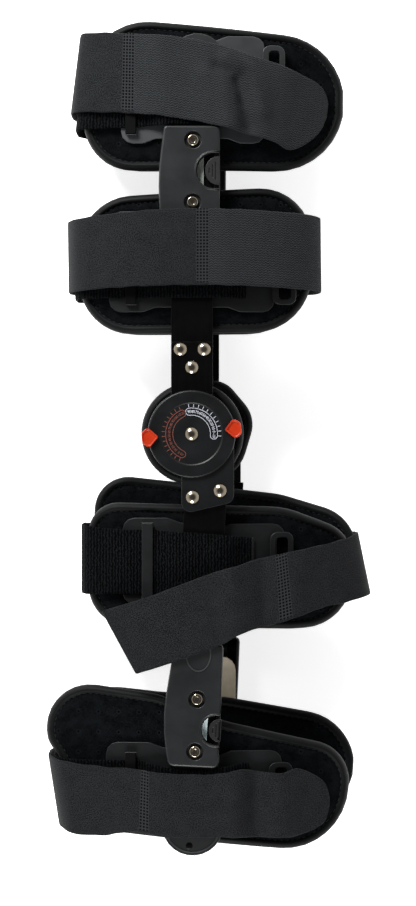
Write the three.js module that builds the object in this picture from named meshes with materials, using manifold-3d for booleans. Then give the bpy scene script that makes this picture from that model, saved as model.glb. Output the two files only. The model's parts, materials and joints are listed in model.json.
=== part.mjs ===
// Range-of-motion knee brace lying on its medial side, lateral side up.
// Millimetres. X runs to the right, Y along the leg towards the thigh, Z up from the table.
// Heights called w are measured outwards from the plane midway between the two sides.
import * as THREE from 'three';
import { mergeVertices } from 'three/addons/utils/BufferGeometryUtils.js';
import Module from 'manifold-3d';

const wasm = await Module();
wasm.setup();

// Driving dimensions
const gap = 0.4;                 // clearance between neighbouring pieces
const midHeight = 50.5;          // table to the plane midway between the sides
const legRadius = 300;           // curvature of the pads and shells across the leg
const padInner = 24;             // w of a pad's inner face at its centre line
const padThickness = 9;
const shellThickness = 2.5;
const barThickness = 3;
const barWidth = 27.6;
const armThickness = 2.5;
const bracketThickness = 2.4;
const dialThickness = 4.6;
const dialRadius = 29;
const dialFaceRadius = 20.4;     // sunken face inside the dial's rim
const dialFaceDepth = 0.6;
const armDiscRadius = 26;        // round end of the hinge arm under the dial
const rivetRadius = 4.4;
const rivetHeight = 2.3;
const housingRoof = 46;          // w of a housing cover's top
const tailTop = 40.5;            // w of the thin tail and round tab beyond the cover
const channelSide = 0.6;         // side play of a bar in its housing
const boreRadius = 5.75;         // counterbores for the housing screws
const boreFloor = 43.4;
const screwRadius = 3.8;
const bandThickness = 1.8;
const baseThickness = 2;
const shankTilt = THREE.MathUtils.degToRad(-3);
const clearTop = 60;             // w above every piece, for cutting shapes

// Heights worked out from them
const padOuter = padInner + padThickness;
const shellLow = padOuter + gap;
const shellTop = shellLow + shellThickness;
const barLow = shellTop + gap;
const barTop = barLow + barThickness;
const armLow = barTop + gap;
const armTop = armLow + armThickness;
const dialLow = armTop + gap;
const bracketTop = dialLow + bracketThickness;
const dialTop = dialLow + dialThickness;
const channelTop = barTop + 0.5;
const bandFloor = -(midHeight - bandThickness / 2);
const baseFloor = -(midHeight - baseThickness / 2);

const saddle = (x) => (x * x) / (2 * legRadius);
const onShell = (x) => shellTop - saddle(x) + gap + baseThickness / 2;

const finishes = {
  bar: { color: 0x17181a, roughness: 0.45, metalness: 0.6 },
  dial: { color: 0x232527, roughness: 0.55, metalness: 0.3 },
  rivet: { color: 0xc9bfae, roughness: 0.25, metalness: 1 },
  stop: { color: 0xc8280a, roughness: 0.35, metalness: 0 },
  housing: { color: 0x2e3032, roughness: 0.45, metalness: 0 },
  button: { color: 0x1b1c1e, roughness: 0.5, metalness: 0 },
  lockPlate: { color: 0xb9c4c2, roughness: 0.4, metalness: 0.2 },
  shell: { color: 0x3b3d3f, roughness: 0.5, metalness: 0 },
  clip: { color: 0x36383a, roughness: 0.5, metalness: 0 },
  pad: { color: 0x0d0e10, roughness: 0.95, metalness: 0 },
  baseStrap: { color: 0x0a0b0c, roughness: 0.95, metalness: 0 },
  band: { color: 0x2b2c2d, roughness: 0.85, metalness: 0 },
};

// Tables and outlines

function table(columns, ...rows) {
  const names = columns.split(' ');
  return rows.map((row) => Object.fromEntries(names.map((name, i) => [name, row[i]])));
}

// A polygon with rounded corners: rows of x, y and corner radius, counterclockwise. Where two corners'
// arcs are too big for the side between them, both are trimmed to where they meet.
function roundOutline(corners, arcSteps = 4) {
  const count = corners.length;
  const spots = corners.map(({ x, y }) => new THREE.Vector2(x, y));
  const spotBefore = (i) => spots[(i + count - 1) % count];
  const arcs = corners.map(({ r }, i) => {
    const here = spots[i];
    if (r === 0) return [here];
    const toBefore = spotBefore(i).clone().sub(here).normalize();
    const toAfter = spots[(i + 1) % count].clone().sub(here).normalize();
    const half = Math.acos(toBefore.dot(toAfter)) / 2;
    const centre = toBefore.clone().add(toAfter).setLength(r / Math.sin(half)).add(here);
    const start = here.clone().addScaledVector(toBefore, r / Math.tan(half)).sub(centre);
    const turn = Math.sign(start.cross(here.clone().sub(centre))) * (Math.PI - 2 * half);
    return Array.from({ length: arcSteps + 1 }, (_, step) => start.clone()
      .rotateAround(new THREE.Vector2(), (turn * step) / arcSteps).add(centre));
  });
  arcs.forEach((arc, i) => {
    const earlier = arcs[(i + count - 1) % count];
    const side = spots[i].clone().sub(spotBefore(i));
    const doublesBack = () => arc[0].clone().sub(earlier.at(-1)).dot(side) <= 0;
    while (arc.length > 2 && earlier.length > 2 && doublesBack()) {
      earlier.pop();
      arc.shift();
    }
  });
  return arcs.flat();
}

const boxOutline = (left, bottom, right, top, r, arcSteps) => roundOutline(
  table('x y r', [right, bottom, r], [right, top, r], [left, top, r], [left, bottom, r]), arcSteps);

const circleOutline = (x, y, r, count) => Array.from({ length: count }, (_, i) => new THREE.Vector2(
  x + r * Math.cos((2 * Math.PI * i) / count), y + r * Math.sin((2 * Math.PI * i) / count)));

// The same outline with a given number of evenly spaced points.
function respaced(outline, count) {
  const closed = new THREE.Path([...outline, outline[0]]);
  return closed.getSpacedPoints(count).slice(0, count);
}

// Solids

function closedGeometry(positions, triangles) {
  const corner = triangles.map((i) => new THREE.Vector3(...positions[i]));
  let volume = 0;
  for (let i = 0; i < corner.length; i += 3) {
    volume += corner[i].dot(corner[i + 1].clone().cross(corner[i + 2]));
  }
  const geometry = new THREE.BufferGeometry();
  geometry.setAttribute('position', new THREE.Float32BufferAttribute(positions.flat(), 3));
  geometry.setIndex(volume < 0 ? triangles.toReversed() : triangles);
  return geometry;
}

function solidOf(geometry) {
  const bare = geometry.clone();
  bare.deleteAttribute('normal');
  bare.deleteAttribute('uv');
  const merged = mergeVertices(bare, 1e-4);
  const vertProperties = new Float32Array(merged.attributes.position.array);
  const triVerts = new Uint32Array(merged.index.array);
  return new wasm.Manifold(new wasm.Mesh({ numProp: 3, vertProperties, triVerts }));
}

function geometryOf(solid) {
  const mesh = solid.getMesh();
  const geometry = new THREE.BufferGeometry();
  geometry.setAttribute('position', new THREE.BufferAttribute(mesh.vertProperties, mesh.numProp));
  geometry.setIndex(new THREE.BufferAttribute(mesh.triVerts, 1));
  return geometry;
}

function prismGeometry(outline, low, high, bevel = 0) {
  const options = {
    depth: high - low - 2 * bevel,
    bevelEnabled: bevel > 0,
    bevelThickness: bevel,
    bevelSize: bevel,
    bevelOffset: -bevel,
    bevelSegments: 2,
    steps: 1,
  };
  return new THREE.ExtrudeGeometry(new THREE.Shape(outline), options).translate(0, 0, low + bevel);
}

const prism = (outline, low, high, bevel) => solidOf(prismGeometry(outline, low, high, bevel));

const block = (left, bottom, right, top, low, high) => prism(
  boxOutline(left, bottom, right, top, 0), low, high);

// A plate bent across the leg: low and high are its heights on the centre line.
function bentPlate(left, bottom, right, top, low, high, strips = 10) {
  const section = [];
  for (let i = 0; i <= strips; i += 1) {
    const x = left + ((right - left) * i) / strips;
    section.push(new THREE.Vector2(x, low - saddle(x)));
  }
  for (let i = strips; i >= 0; i -= 1) {
    const x = left + ((right - left) * i) / strips;
    section.push(new THREE.Vector2(x, high - saddle(x)));
  }
  const along = prismGeometry(section, 0, top - bottom).rotateX(Math.PI / 2).translate(0, top, 0);
  return solidOf(along);
}

function lathe(profile, segments) {
  const points = profile.map(([radius, height]) => new THREE.Vector2(radius, height));
  return new THREE.LatheGeometry(points, segments).rotateX(Math.PI / 2);
}

// A padded liner: rings run from the rim to the middle, on the outer and the inner face.
const padRings = table('inset share', [2.6, 1], [0, 0.62], [0, 0.28]);

function cushionGeometry(outline, low, high, bend) {
  const count = outline.length;
  const centre = outline.reduce((sum, point) => sum.add(point), new THREE.Vector2());
  centre.divideScalar(count);
  const middle = (low + high) / 2;
  const half = (high - low) / 2;
  const positions = [];
  const triangles = [];
  const place = (point, height) => positions.push([point.x, point.y, height - bend(point.x)]) - 1;
  const ringAt = (inset, share, height) => outline.map((point) => {
    const spoke = point.clone().sub(centre);
    return place(spoke.setLength((spoke.length() - inset) * share).add(centre), height);
  });
  const rim = ringAt(0, 1, middle);
  [1, -1].forEach((face) => {
    let outer = rim;
    const addTriangle = (a, b, c) => triangles.push(...(face > 0 ? [a, b, c] : [a, c, b]));
    padRings.forEach(({ inset, share }) => {
      const inner = ringAt(inset, share, middle + face * half);
      outer.forEach((_, i) => {
        const next = (i + 1) % count;
        addTriangle(outer[i], outer[next], inner[next]);
        addTriangle(outer[i], inner[next], inner[i]);
      });
      outer = inner;
    });
    const hub = place(centre, middle + face * half);
    outer.forEach((_, i) => addTriangle(outer[i], outer[(i + 1) % count], hub));
  });
  return closedGeometry(positions, triangles);
}

// A strap through rows that give its two edges and their height. The strap's own thickness is
// laid square to its run, and lift raises or dents its middle.
function strapGeometry(rows, thickness, loop = false) {
  const curve = (point) => new THREE.CatmullRomCurve3(rows.map(point), loop, 'centripetal');
  const high = curve((row) => new THREE.Vector3(row.highX, row.highY, row.w));
  const low = curve((row) => new THREE.Vector3(row.lowX, row.lowY, row.w));
  const lift = curve((row) => new THREE.Vector3(row.lift ?? 0, 0, 0));
  const steps = (loop ? rows.length : rows.length - 1) * 2;
  const stations = loop ? steps : steps + 1;
  const positions = [];
  const triangles = [];
  for (let i = 0; i < stations; i += 1) {
    const t = i / steps;
    const run = high.getTangent(t).add(low.getTangent(t)).setY(0).normalize();
    const outward = new THREE.Vector3(run.z, 0, -run.x);
    const middle = high.getPoint(t).lerp(low.getPoint(t), 0.5);
    middle.addScaledVector(outward, lift.getPoint(t).x);
    const across = [high.getPoint(t), middle, low.getPoint(t)];
    across.forEach((point) => point.setZ(Math.max(point.z, thickness / 2 - midHeight)));
    const faces = [thickness / 2, -thickness / 2];
    faces.forEach((offset) => across.forEach((point) => {
      positions.push(point.clone().addScaledVector(outward, offset).toArray());
    }));
  }
  const round = [0, 1, 2, 5, 4, 3];
  const sides = round.length;
  const at = (station, k) => (station % stations) * sides + round[k % sides];
  for (let i = 0; i < (loop ? stations : stations - 1); i += 1) {
    for (let k = 0; k < sides; k += 1) {
      triangles.push(at(i, k), at(i + 1, k), at(i + 1, k + 1));
      triangles.push(at(i, k), at(i + 1, k + 1), at(i, k + 1));
    }
  }
  if (!loop) {
    const last = stations - 1;
    for (let k = 1; k < sides - 1; k += 1) {
      triangles.push(at(0, 0), at(0, k), at(0, k + 1));
      triangles.push(at(last, 0), at(last, k + 1), at(last, k));
    }
  }
  return closedGeometry(positions, triangles);
}

// Scene graph

const brace = new THREE.Group();
const lateral = new THREE.Group();
const medial = new THREE.Group();
const lateralShank = new THREE.Group();
const medialShank = new THREE.Group();
medial.scale.z = -1;
lateralShank.rotation.z = shankTilt;
medialShank.rotation.z = shankTilt;
lateral.add(lateralShank);
medial.add(medialShank);
brace.add(lateral, medial);

function addPiece(parent, name, shape, finish) {
  const geometry = shape.isBufferGeometry ? shape : geometryOf(shape);
  const mesh = new THREE.Mesh(geometry, new THREE.MeshStandardMaterial(finishes[finish]));
  mesh.name = name;
  parent.add(mesh);
  return mesh;
}

// Bars and hinges

const upperBarEnds = { bottom: 37, top: 194 };
const lowerBarEnds = { bottom: -205, jogBottom: -66, jogTop: -56, top: -31 };
const armTopEdge = 61;
const barSides = {
  lateral: { upperX: 0.2, lowerX: 11.4, bracketX: 0, group: lateral, shank: lateralShank },
  medial: { upperX: 4.7, lowerX: 23.2, bracketX: 5.5, group: medial, shank: medialShank },
};

function upperBar({ upperX }) {
  const { bottom, top } = upperBarEnds;
  const outline = boxOutline(upperX - barWidth / 2, bottom, upperX + barWidth / 2, top, 3, 2);
  return prismGeometry(outline, barLow, barTop);
}

// The lower bar is bent down from the bracket to the shell's level.
function lowerBar({ lowerX }) {
  const { bottom, jogBottom, jogTop, top } = lowerBarEnds;
  const high = dialLow - gap;
  const profile = table('y w', [top, high], [jogTop, high], [jogBottom, barTop], [bottom, barTop],
    [bottom, barLow], [jogBottom, barLow], [jogTop, high - barThickness], [top, high - barThickness]);
  const section = profile.map(({ y, w }) => new THREE.Vector2(y, w));
  const bar = prismGeometry(section, -barWidth / 2, barWidth / 2);
  return bar.rotateX(Math.PI / 2).rotateZ(Math.PI / 2).translate(lowerX, 0, 0);
}

function hingeArm({ upperX }) {
  const left = upperX - barWidth / 2;
  const strip = prism(boxOutline(left, 0, left + barWidth, armTopEdge, 1.5, 2), armLow, armTop);
  return strip.add(prism(circleOutline(0, 0, armDiscRadius, 36), armLow, armTop));
}

// Dial and lower bracket are one plate: a thick rimmed disc over a thinner tongue.
const dialProfile = [
  [0, dialLow], [dialRadius - 0.4, dialLow], [dialRadius, dialLow + 0.4], [dialRadius, dialTop - 1.3],
  [dialRadius - 1.4, dialTop], [dialFaceRadius + 0.5, dialTop],
  [dialFaceRadius - 0.5, dialTop - dialFaceDepth], [0, dialTop - dialFaceDepth],
];
const bracketCorners = table('x y r',
  [-6.7, -53, 6], [28, -45, 6], [28, -7.5, 0], [0, 0, 0], [-6.7, -24, 0]);

function dialPlate({ bracketX }) {
  const corners = bracketCorners.map((corner) => ({ ...corner, x: corner.x + bracketX }));
  const bracket = prism(roundOutline(corners, 3), dialLow, bracketTop);
  return solidOf(lathe(dialProfile, 36)).add(bracket);
}

Object.entries(barSides).forEach(([side, spec]) => {
  addPiece(spec.group, `${side}_upper_bar`, upperBar(spec), 'bar');
  addPiece(spec.group, `${side}_hinge_arm`, hingeArm(spec), 'bar');
  addPiece(spec.group, `${side}_dial_plate`, dialPlate(spec), 'dial');
  addPiece(spec.shank, `${side}_lower_bar`, lowerBar(spec), 'bar');
});

// Domed rivet heads
const rivets = table('name x y base',
  ['pivot_rivet', 0, 0, dialTop - dialFaceDepth],
  ['arm_rivet_1', -7.4, 56, armTop], ['arm_rivet_2', 8.2, 56, armTop], ['arm_rivet_3', 0.1, 44, armTop],
  ['bracket_rivet_1', 0.6, -41.7, bracketTop], ['bracket_rivet_2', 18.8, -37.4, bracketTop]);
const rivetProfile = [
  [0, 0], [rivetRadius, 0], [rivetRadius, 0.5], [rivetRadius * 0.86, rivetHeight * 0.68],
  [rivetRadius * 0.5, rivetHeight * 0.94], [0, rivetHeight],
];

rivets.forEach(({ name, x, y, base }) => {
  const head = addPiece(lateral, name, lathe(rivetProfile, 12), 'rivet');
  head.position.set(x, y, base + gap);
});

// Range stops: a head on the dial's rim with its point towards the centre, and a lip over the edge.
const stopHead = table('x y r',
  [21.8, 0, 0.8], [28.5, -7, 2.6], [33, -3.6, 3], [33, 3.6, 3], [28.5, 7, 2.6]);
const stopAngles = { extension_stop: 7, flexion_stop: 185 };
const stopHeight = 1.9;
const lipOverlap = 1;            // height that the lip and the head share
const lipInner = dialRadius + gap;
const lipOuter = 40;

function stopShape() {
  const outline = roundOutline(stopHead, 3);
  const head = prism(outline, dialTop + gap, dialTop + gap + stopHeight);
  const rimRing = prism(circleOutline(0, 0, lipOuter, 40), 0, clearTop)
    .subtract(prism(circleOutline(0, 0, lipInner, 60), 0, clearTop));
  const lip = prism(outline, bracketTop + gap, dialTop + gap + lipOverlap).intersect(rimRing);
  return head.add(lip);
}

Object.entries(stopAngles).forEach(([name, angle]) => {
  const stop = addPiece(lateral, name, stopShape(), 'stop');
  stop.rotation.z = THREE.MathUtils.degToRad(angle);
});

// Telescoping housings. x is measured from the bar's centre line, y from the hinge outwards.
const housingSpecs = {
  thigh: {
    direction: 1,
    cover: table('x y r', [-21, 141.5, 3], [18.4, 141.5, 3], [18.6, 203.5, 3], [-18.4, 203.5, 2.2],
      [-22.8, 170, 190]),
    channelEnd: 198,
    tab: { x: 3.4, y: 246, radius: 19 },
    screws: table('x y', [0.7, 194], [0.4, 153]),
    window: { left: 2.9, centre: 173.7, half: 11.7, reach: 18.5, buttonStart: 5.9 },
  },
  calf: {
    direction: -1,
    cover: table('x y r', [-15.5, 138, 3], [17, 138, 3], [17.8, 219.5, 4], [-15.4, 219.5, 4],
      [-21.4, 192, 120]),
    channelEnd: 209,
    tab: { x: 2.8, y: 258, radius: 20.5 },
    screws: table('x y', [1.3, 174.6], [1.7, 209.2]),
    window: { left: 5, centre: 194.5, half: 9.8, reach: 18.2, buttonStart: 5.1 },
  },
};
const tailHalfWidth = 15;
const tailOverlap = 8;           // length of the tail inside the cover
const coverBevel = 1.4;
const windowLip = 1.1;
const windowLipHeight = 0.5;
const windowLipRoot = 2;         // depth of the lip below the cover's top
const windowRound = 0.96;        // corner radius as a share of the window's half height
const cutOver = 5;               // how far a cutting shape passes the face that it cuts
const buttonGap = 2.2;
const buttonRound = 0.93;        // inner corner radius as a share of the button's half height
const buttonEdge = 1;
const lockThickness = 0.9;
const lockShort = 0.9;           // gap seen between the lock plate and the button
const lockLow = channelTop;
const buttonLow = lockLow + lockThickness + gap;
const buttonTop = housingRoof - 0.8;
const grooves = table('shift length', [2.7, 3.8], [4.9, 8.7], [6.9, 12]);
const grooveHalf = 0.4;
const grooveDepth = 0.7;

// A window open to the right edge with a half-round left end.
function windowOutline({ left, centre, half, reach }, grow) {
  const edge = half + grow;
  const right = reach + cutOver;
  const round = edge * windowRound;
  return roundOutline(table('x y r', [right, centre - edge, 0], [right, centre + edge, 0],
    [left - grow, centre + edge, round], [left - grow, centre - edge, round]), 5);
}

function housingShape(spec, barX, full) {
  const { direction, cover, channelEnd, tab, screws, window } = spec;
  const start = cover[0].y;
  const right = cover[1].x;
  const end = cover[2].y;
  const left = cover[4].x;
  let body = prism(roundOutline(cover, 3), barLow, housingRoof, coverBevel);
  const tailStart = end - tailOverlap;
  const tail = block(tab.x - tailHalfWidth, tailStart, tab.x + tailHalfWidth, tab.y, barLow, tailTop);
  body = body.add(tail).add(prism(circleOutline(tab.x, tab.y, tab.radius, 26), barLow, tailTop));
  const channelHalf = barWidth / 2 + channelSide;
  const channelStart = start - cutOver;
  const channel = block(-channelHalf, channelStart, channelHalf, channelEnd, barLow - cutOver, channelTop);
  body = body.subtract(channel);
  if (full) {
    const lipBlank = prism(windowOutline(window, windowLip), housingRoof - windowLipRoot,
      housingRoof + windowLipHeight);
    body = body.add(lipBlank.intersect(block(left, start, right, end, 0, clearTop)));
    body = body.subtract(prism(windowOutline(window, 0), channelTop - gap / 2, clearTop));
    screws.forEach(({ x, y }) => {
      body = body.subtract(prism(circleOutline(x, y, boreRadius, 18), boreFloor, clearTop));
    });
  }
  const placed = geometryOf(body);
  if (direction < 0) placed.applyMatrix4(new THREE.Matrix4().makeScale(1, -1, 1));
  if (direction < 0) placed.setIndex(Array.from(placed.index.array).toReversed());
  return placed.translate(barX, 0, 0);
}

function buttonShape({ left, centre, half, reach, buttonStart }) {
  const bottom = centre - half + buttonGap;
  const top = centre + half - buttonGap;
  const inner = left + buttonStart;
  const round = (half - buttonGap) * buttonRound;
  const outline = roundOutline(table('x y r', [reach, bottom, buttonEdge], [reach, top, buttonEdge],
    [inner, top, round], [inner, bottom, round]), 5);
  let body = prism(outline, buttonLow, buttonTop);
  grooves.forEach(({ shift, length }) => {
    const x = inner + shift;
    body = body.subtract(block(x - grooveHalf, centre - length / 2, x + grooveHalf, centre + length / 2,
      buttonTop - grooveDepth, clearTop));
  });
  return body;
}

function lockPlateShape(window) {
  const { left, centre, half, buttonStart } = window;
  const right = left + buttonStart - lockShort;
  const blank = prism(windowOutline(window, -gap), lockLow, lockLow + lockThickness);
  return blank.intersect(block(left, centre - half, right, centre + half, 0, clearTop));
}

const screwProfile = [
  [0, 0], [screwRadius, 0], [screwRadius, 1.6], [screwRadius - 0.6, 2.2], [1.7, 2.2], [1.7, 0.6], [0, 0.6],
];

function addHousing(segment, side, barX, parent, full) {
  const spec = housingSpecs[segment];
  addPiece(parent, `${side}_${segment}_housing`, housingShape(spec, barX, full), 'housing');
  if (!full) return;
  const frame = new THREE.Group();
  frame.position.x = barX;
  frame.scale.y = spec.direction;
  parent.add(frame);
  addPiece(frame, `${segment}_button`, buttonShape(spec.window), 'button');
  addPiece(frame, `${segment}_lock_plate`, lockPlateShape(spec.window), 'lockPlate');
  spec.screws.forEach(({ x, y }, i) => {
    const head = addPiece(frame, `${segment}_screw_${i + 1}`, lathe(screwProfile, 12), 'rivet');
    head.position.set(x, y, boreFloor + gap);
  });
}

addHousing('thigh', 'lateral', barSides.lateral.upperX, lateral, true);
addHousing('calf', 'lateral', barSides.lateral.lowerX, lateralShank, true);
addHousing('thigh', 'medial', barSides.medial.upperX, medial, false);
addHousing('calf', 'medial', barSides.medial.lowerX, medialShank, false);

// The medial lock plate shows on the housing's inner face.
const medialPlate = table('x y r', [12, -186, 0], [29.8, -186, 0], [29.8, -153, 9], [12, -153, 0]);
const medialPlateTop = barLow - gap;
addPiece(medial, 'medial_lock_plate',
  prismGeometry(roundOutline(medialPlate), medialPlateTop - lockThickness, medialPlateTop), 'lockPlate');

// Pads, shells and clips. Each pad is a rounded polygon, counterclockwise from its lower left.
const padOutlines = {
  cuff1_lateral: table('x y r', [-72.6, 175.5, 34], [102.5, 175, 48], [102.5, 263, 44], [-72, 279, 42]),
  cuff1_medial: table('x y r', [-72, 180, 36], [99, 182, 44], [99, 264, 40], [-72, 278, 42]),
  cuff2_lateral: table('x y r', [-75.5, 66, 36], [80.5, 68, 40], [80.5, 166, 34], [-75.5, 157, 36]),
  cuff2_medial: table('x y r', [-75.5, 68, 38], [80, 69, 42], [80, 164, 34], [-75.5, 156, 36]),
  cuff3_lateral: table('x y r', [-69, -127, 26], [66, -130, 60], [108, -128, 34], [108, -66, 26],
    [62, -48.5, 60], [-69, -45, 20]),
  cuff3_medial: table('x y r', [-69, -118, 26], [111, -124, 34], [112, -56, 30], [60, -40.5, 60],
    [-66, -26, 23]),
  cuff4_lateral: table('x y r', [-82, -262, 30], [103, -281, 42], [107, -211, 28], [22, -191, 50],
    [-22, -173, 50], [-108.5, -161, 30], [-95.5, -205, 5], [-88, -212.5, 6]),
  cuff4_medial: table('x y r', [-80, -260, 30], [108, -264, 42], [112, -194, 36], [24, -180, 60],
    [-24, -176, 50], [-94, -167, 34]),
};
const padPoints = 28;

Object.entries(padOutlines).forEach(([name, corners]) => {
  const outline = respaced(roundOutline(corners, 6), padPoints);
  const group = name.endsWith('lateral') ? lateral : medial;
  addPiece(group, `${name}_pad`, cushionGeometry(outline, padInner, padOuter, saddle), 'pad');
});

// Knee pads behind the two dials
const kneePadHeights = { low: 26, high: 35.5 };
const kneePadOutlines = {
  lateral: circleOutline(0.5, 0.5, 34, 30),
  medial: respaced(roundOutline(table('x y r', [-31, -31, 30], [31, -31, 26], [44, 12, 22],
    [22, 38, 18], [-31, 33, 30]), 6), 30),
};

Object.entries(kneePadOutlines).forEach(([side, outline]) => {
  const { low, high } = kneePadHeights;
  addPiece(barSides[side].group, `${side}_knee_pad`, cushionGeometry(outline, low, high, () => 0), 'pad');
});

// Shells: bent plates with shallow lobes beside the bar, and a notch where a clip's loop overlaps them.
// The strap runs under a raised strip.
const shellSizes = table('name left right bottom top rightTop stripLeft stripRight strapLow strapHigh'
  + ' dipLeft dipRight notchLeft notchTop',
  ['cuff1', -47, 48.7, 193, 262, 264, -44, -37, 202, 253, -24, 24],
  ['cuff2', -55, 55, 81, 148, 146, -44, -37, 89, 140, -24, 24],
  ['cuff3', -46, 62, -113, -55.5, -59.5, -33, -25.7, -107.6, -62, -8, 26, 56.6, -69],
  ['cuff4', -57, 60, -263.5, -204.5, -210, -44, -37, -260, -214.5, -20, 26, 55.6, -222]);
const shellCorner = 8;
const lobeCorner = 6;
const lobeRun = 8;               // length of a lobe's slope beside the bar
const dipDepth = 3;
const postLength = 3;
const postRoot = 1;              // depth of a strip's end posts in the plate
const stripThickness = 1.8;

function shellOutline({ left, right, bottom, top, rightTop, dipLeft, dipRight }) {
  return roundOutline(table('x y r',
    [left, bottom, shellCorner], [dipLeft - lobeRun, bottom, lobeCorner],
    [dipLeft, bottom + dipDepth, lobeCorner], [dipRight, bottom + dipDepth, lobeCorner],
    [dipRight + lobeRun, bottom, lobeCorner], [right, bottom, shellCorner],
    [right, rightTop, shellCorner], [dipRight, rightTop, lobeCorner],
    [dipRight - lobeRun, rightTop - dipDepth, lobeCorner], [dipLeft, top - dipDepth, lobeCorner],
    [dipLeft - lobeRun, top, lobeCorner], [left, top, shellCorner]), 3);
}

function shellShape(size, bridged) {
  const { left, right, bottom, top, rightTop, notchLeft, notchTop } = size;
  const blank = bentPlate(left, bottom, right, Math.max(top, rightTop), shellLow, shellTop);
  let plate = blank.intersect(prism(shellOutline(size), 0, clearTop));
  if (!bridged) return plate;
  if (notchLeft) {
    const notch = block(notchLeft, bottom - cutOver, right + cutOver, notchTop, 0, clearTop);
    plate = plate.subtract(notch);
  }
  const { stripLeft, stripRight, strapLow, strapHigh } = size;
  const stripLow = shellTop + gap + baseThickness + gap;
  const stripTop = stripLow + stripThickness;
  const strip = (from, to, low) => bentPlate(stripLeft, from, stripRight, to, low, stripTop, 2);
  return plate
    .add(strip(strapLow - postLength, strapHigh + postLength, stripLow))
    .add(strip(strapLow - postLength, strapLow, shellTop - postRoot))
    .add(strip(strapHigh, strapHigh + postLength, shellTop - postRoot));
}

shellSizes.forEach((size) => {
  addPiece(lateral, `${size.name}_lateral_shell`, shellShape(size, true), 'shell');
  addPiece(medial, `${size.name}_medial_shell`, shellShape(size, false), 'shell');
});

// Strap clips: flat D-loops at the right end of each lateral shell
const clipSizes = table('name left bottom right top',
  ['cuff1', 47, 204, 62, 258], ['cuff2', 53.5, 86, 69.5, 141],
  ['cuff3', 52, -116, 67.6, -65], ['cuff4', 51, -268, 67, -218]);
const clipLow = shellTop + gap;
const clipThickness = 2.2;
const clipBar = 3.6;
const clipBackBar = 4.2;

clipSizes.forEach(({ name, left, bottom, right, top }) => {
  const outer = boxOutline(left, bottom, right, top, 5, 3);
  const inner = boxOutline(left + clipBackBar, bottom + clipBar, right - clipBar, top - clipBar, 2, 2);
  const blank = bentPlate(left, bottom, right, top, clipLow, clipLow + clipThickness, 4);
  const loop = prism(outer, 0, clearTop).subtract(prism(inner, 0, clearTop));
  addPiece(lateral, `${name}_clip`, blank.intersect(loop), 'clip');
});

// Straps. Rows run from the free end over the lateral side, round the fold and along the table.
const strapColumns = 'highX highY lowX lowY w lift';
const bandWrap = table('inset w', [0, 0], [0.2, -14], [1.6, -24], [6.5, -33.5], [15, -41], [28, -47]);
const baseWrap = table('inset w', [0, 0], [0.2, -14], [1.4, -22.5], [6, -30], [14, -36.5], [27, -43.2]);

// The stretch from the fold to the medial side: side is -1 for a fold on the left and 1 on the right.
function wrapRows(fold, wrap, side, floor, stations) {
  const turn = wrap.map(({ inset, w }) => ({
    highX: fold.highX - side * inset, highY: fold.highY, lowX: fold.lowX - side * inset, lowY: fold.lowY, w,
  }));
  const flat = stations.map((x) => ({ highX: x, highY: fold.highY, lowX: x, lowY: fold.lowY, w: floor }));
  return [...turn, ...flat];
}

const [bandFold1, bandFold3, bandFold4] = table('highX highY lowX lowY',
  [-74.4, 266, -81, 214.5], [111.5, -66, 120, -108], [-96, -214, -89, -263]);
const [baseFold1, baseFold2, baseFold3, baseFold4] = table('highX highY lowX lowY',
  [-73.2, 252, -77.6, 203], [-77.9, 139.5, -77.9, 90], [-73.6, -60, -73.6, -106.5],
  [-92.8, -215, -85.8, -259.5]);

const bandRows = {
  cuff1_band: [
    ...table(strapColumns,
      [90.5, 225, 88.5, 207, 22.5, 0],
      [85, 233, 80.5, 196.5, 25.5, 0],
      [74, 238.5, 65, 188.5, 32, 0],
      [62, 243.5, 54.5, 193.5, 37.5, 0],
      [38, 251, 37.4, 198, 41.5, 3.5],
      [24, 255, 26, 201, 44.8, 0],
      [14, 258, 14, 204, 45, 0],
      [-7, 262, -4, 207.5, 45, 0],
      [-20, 263.5, -20, 210, 44.7, 0],
      [-33, 264.5, -33, 211.5, 41.6, 0],
      [-50, 266, -52, 213, 36.5, 0],
      [-66, 267, -70, 214, 31, 0],
      [-72.4, 267, -77.6, 214.3, 25.8, 0],
      [-74.2, 266.5, -80.4, 214.5, 16, 0]),
    ...wrapRows(bandFold1, bandWrap, -1, bandFloor, [-32, 0, 34, 58]),
  ],
  cuff3_band: [
    ...table(strapColumns,
      [-59.8, -117, -36.9, -158.8, 41, 0],
      [-44, -112, -25, -155, 45, 0],
      [-28, -107, -13.3, -151, 47.6, 0],
      [10.5, -92.5, 21.5, -138, 48, 0],
      [30, -86.5, 33, -131.5, 46.6, 0],
      [46, -82, 47, -128, 43.5, -1.5],
      [62, -78.5, 66, -122.5, 40.6, 0],
      [84, -74, 86, -115.5, 33, 0],
      [101, -70, 104, -112, 24, 0],
      [109, -67, 116, -109, 13, 0]),
    ...wrapRows(bandFold3, bandWrap, 1, bandFloor, [60, 34, 6]),
  ],
  cuff4_band: [
    ...table(strapColumns,
      [91.6, -240, 91.6, -250, 22.5, 0],
      [87, -230.5, 87, -260, 25.5, 0],
      [70, -221.8, 69, -267, 33, 0],
      [58, -224.4, 60, -267.3, 37.2, -0.6],
      [44, -223, 45, -267, 39.6, 0],
      [33, -221.2, 30, -266.5, 43.6, 0],
      [18, -224, 19, -266, 45.2, 0],
      [-20, -223.6, -18, -266, 45.2, 0],
      [-36, -221.5, -38, -262.8, 41.2, 0],
      [-62, -220, -56, -265, 35, 0],
      [-86.5, -217, -78.5, -263, 29, 0],
      [-95, -214.5, -88, -263, 17, 0]),
    ...wrapRows(bandFold4, bandWrap, -1, bandFloor, [-36, 0, 34, 58]),
  ],
};

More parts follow.
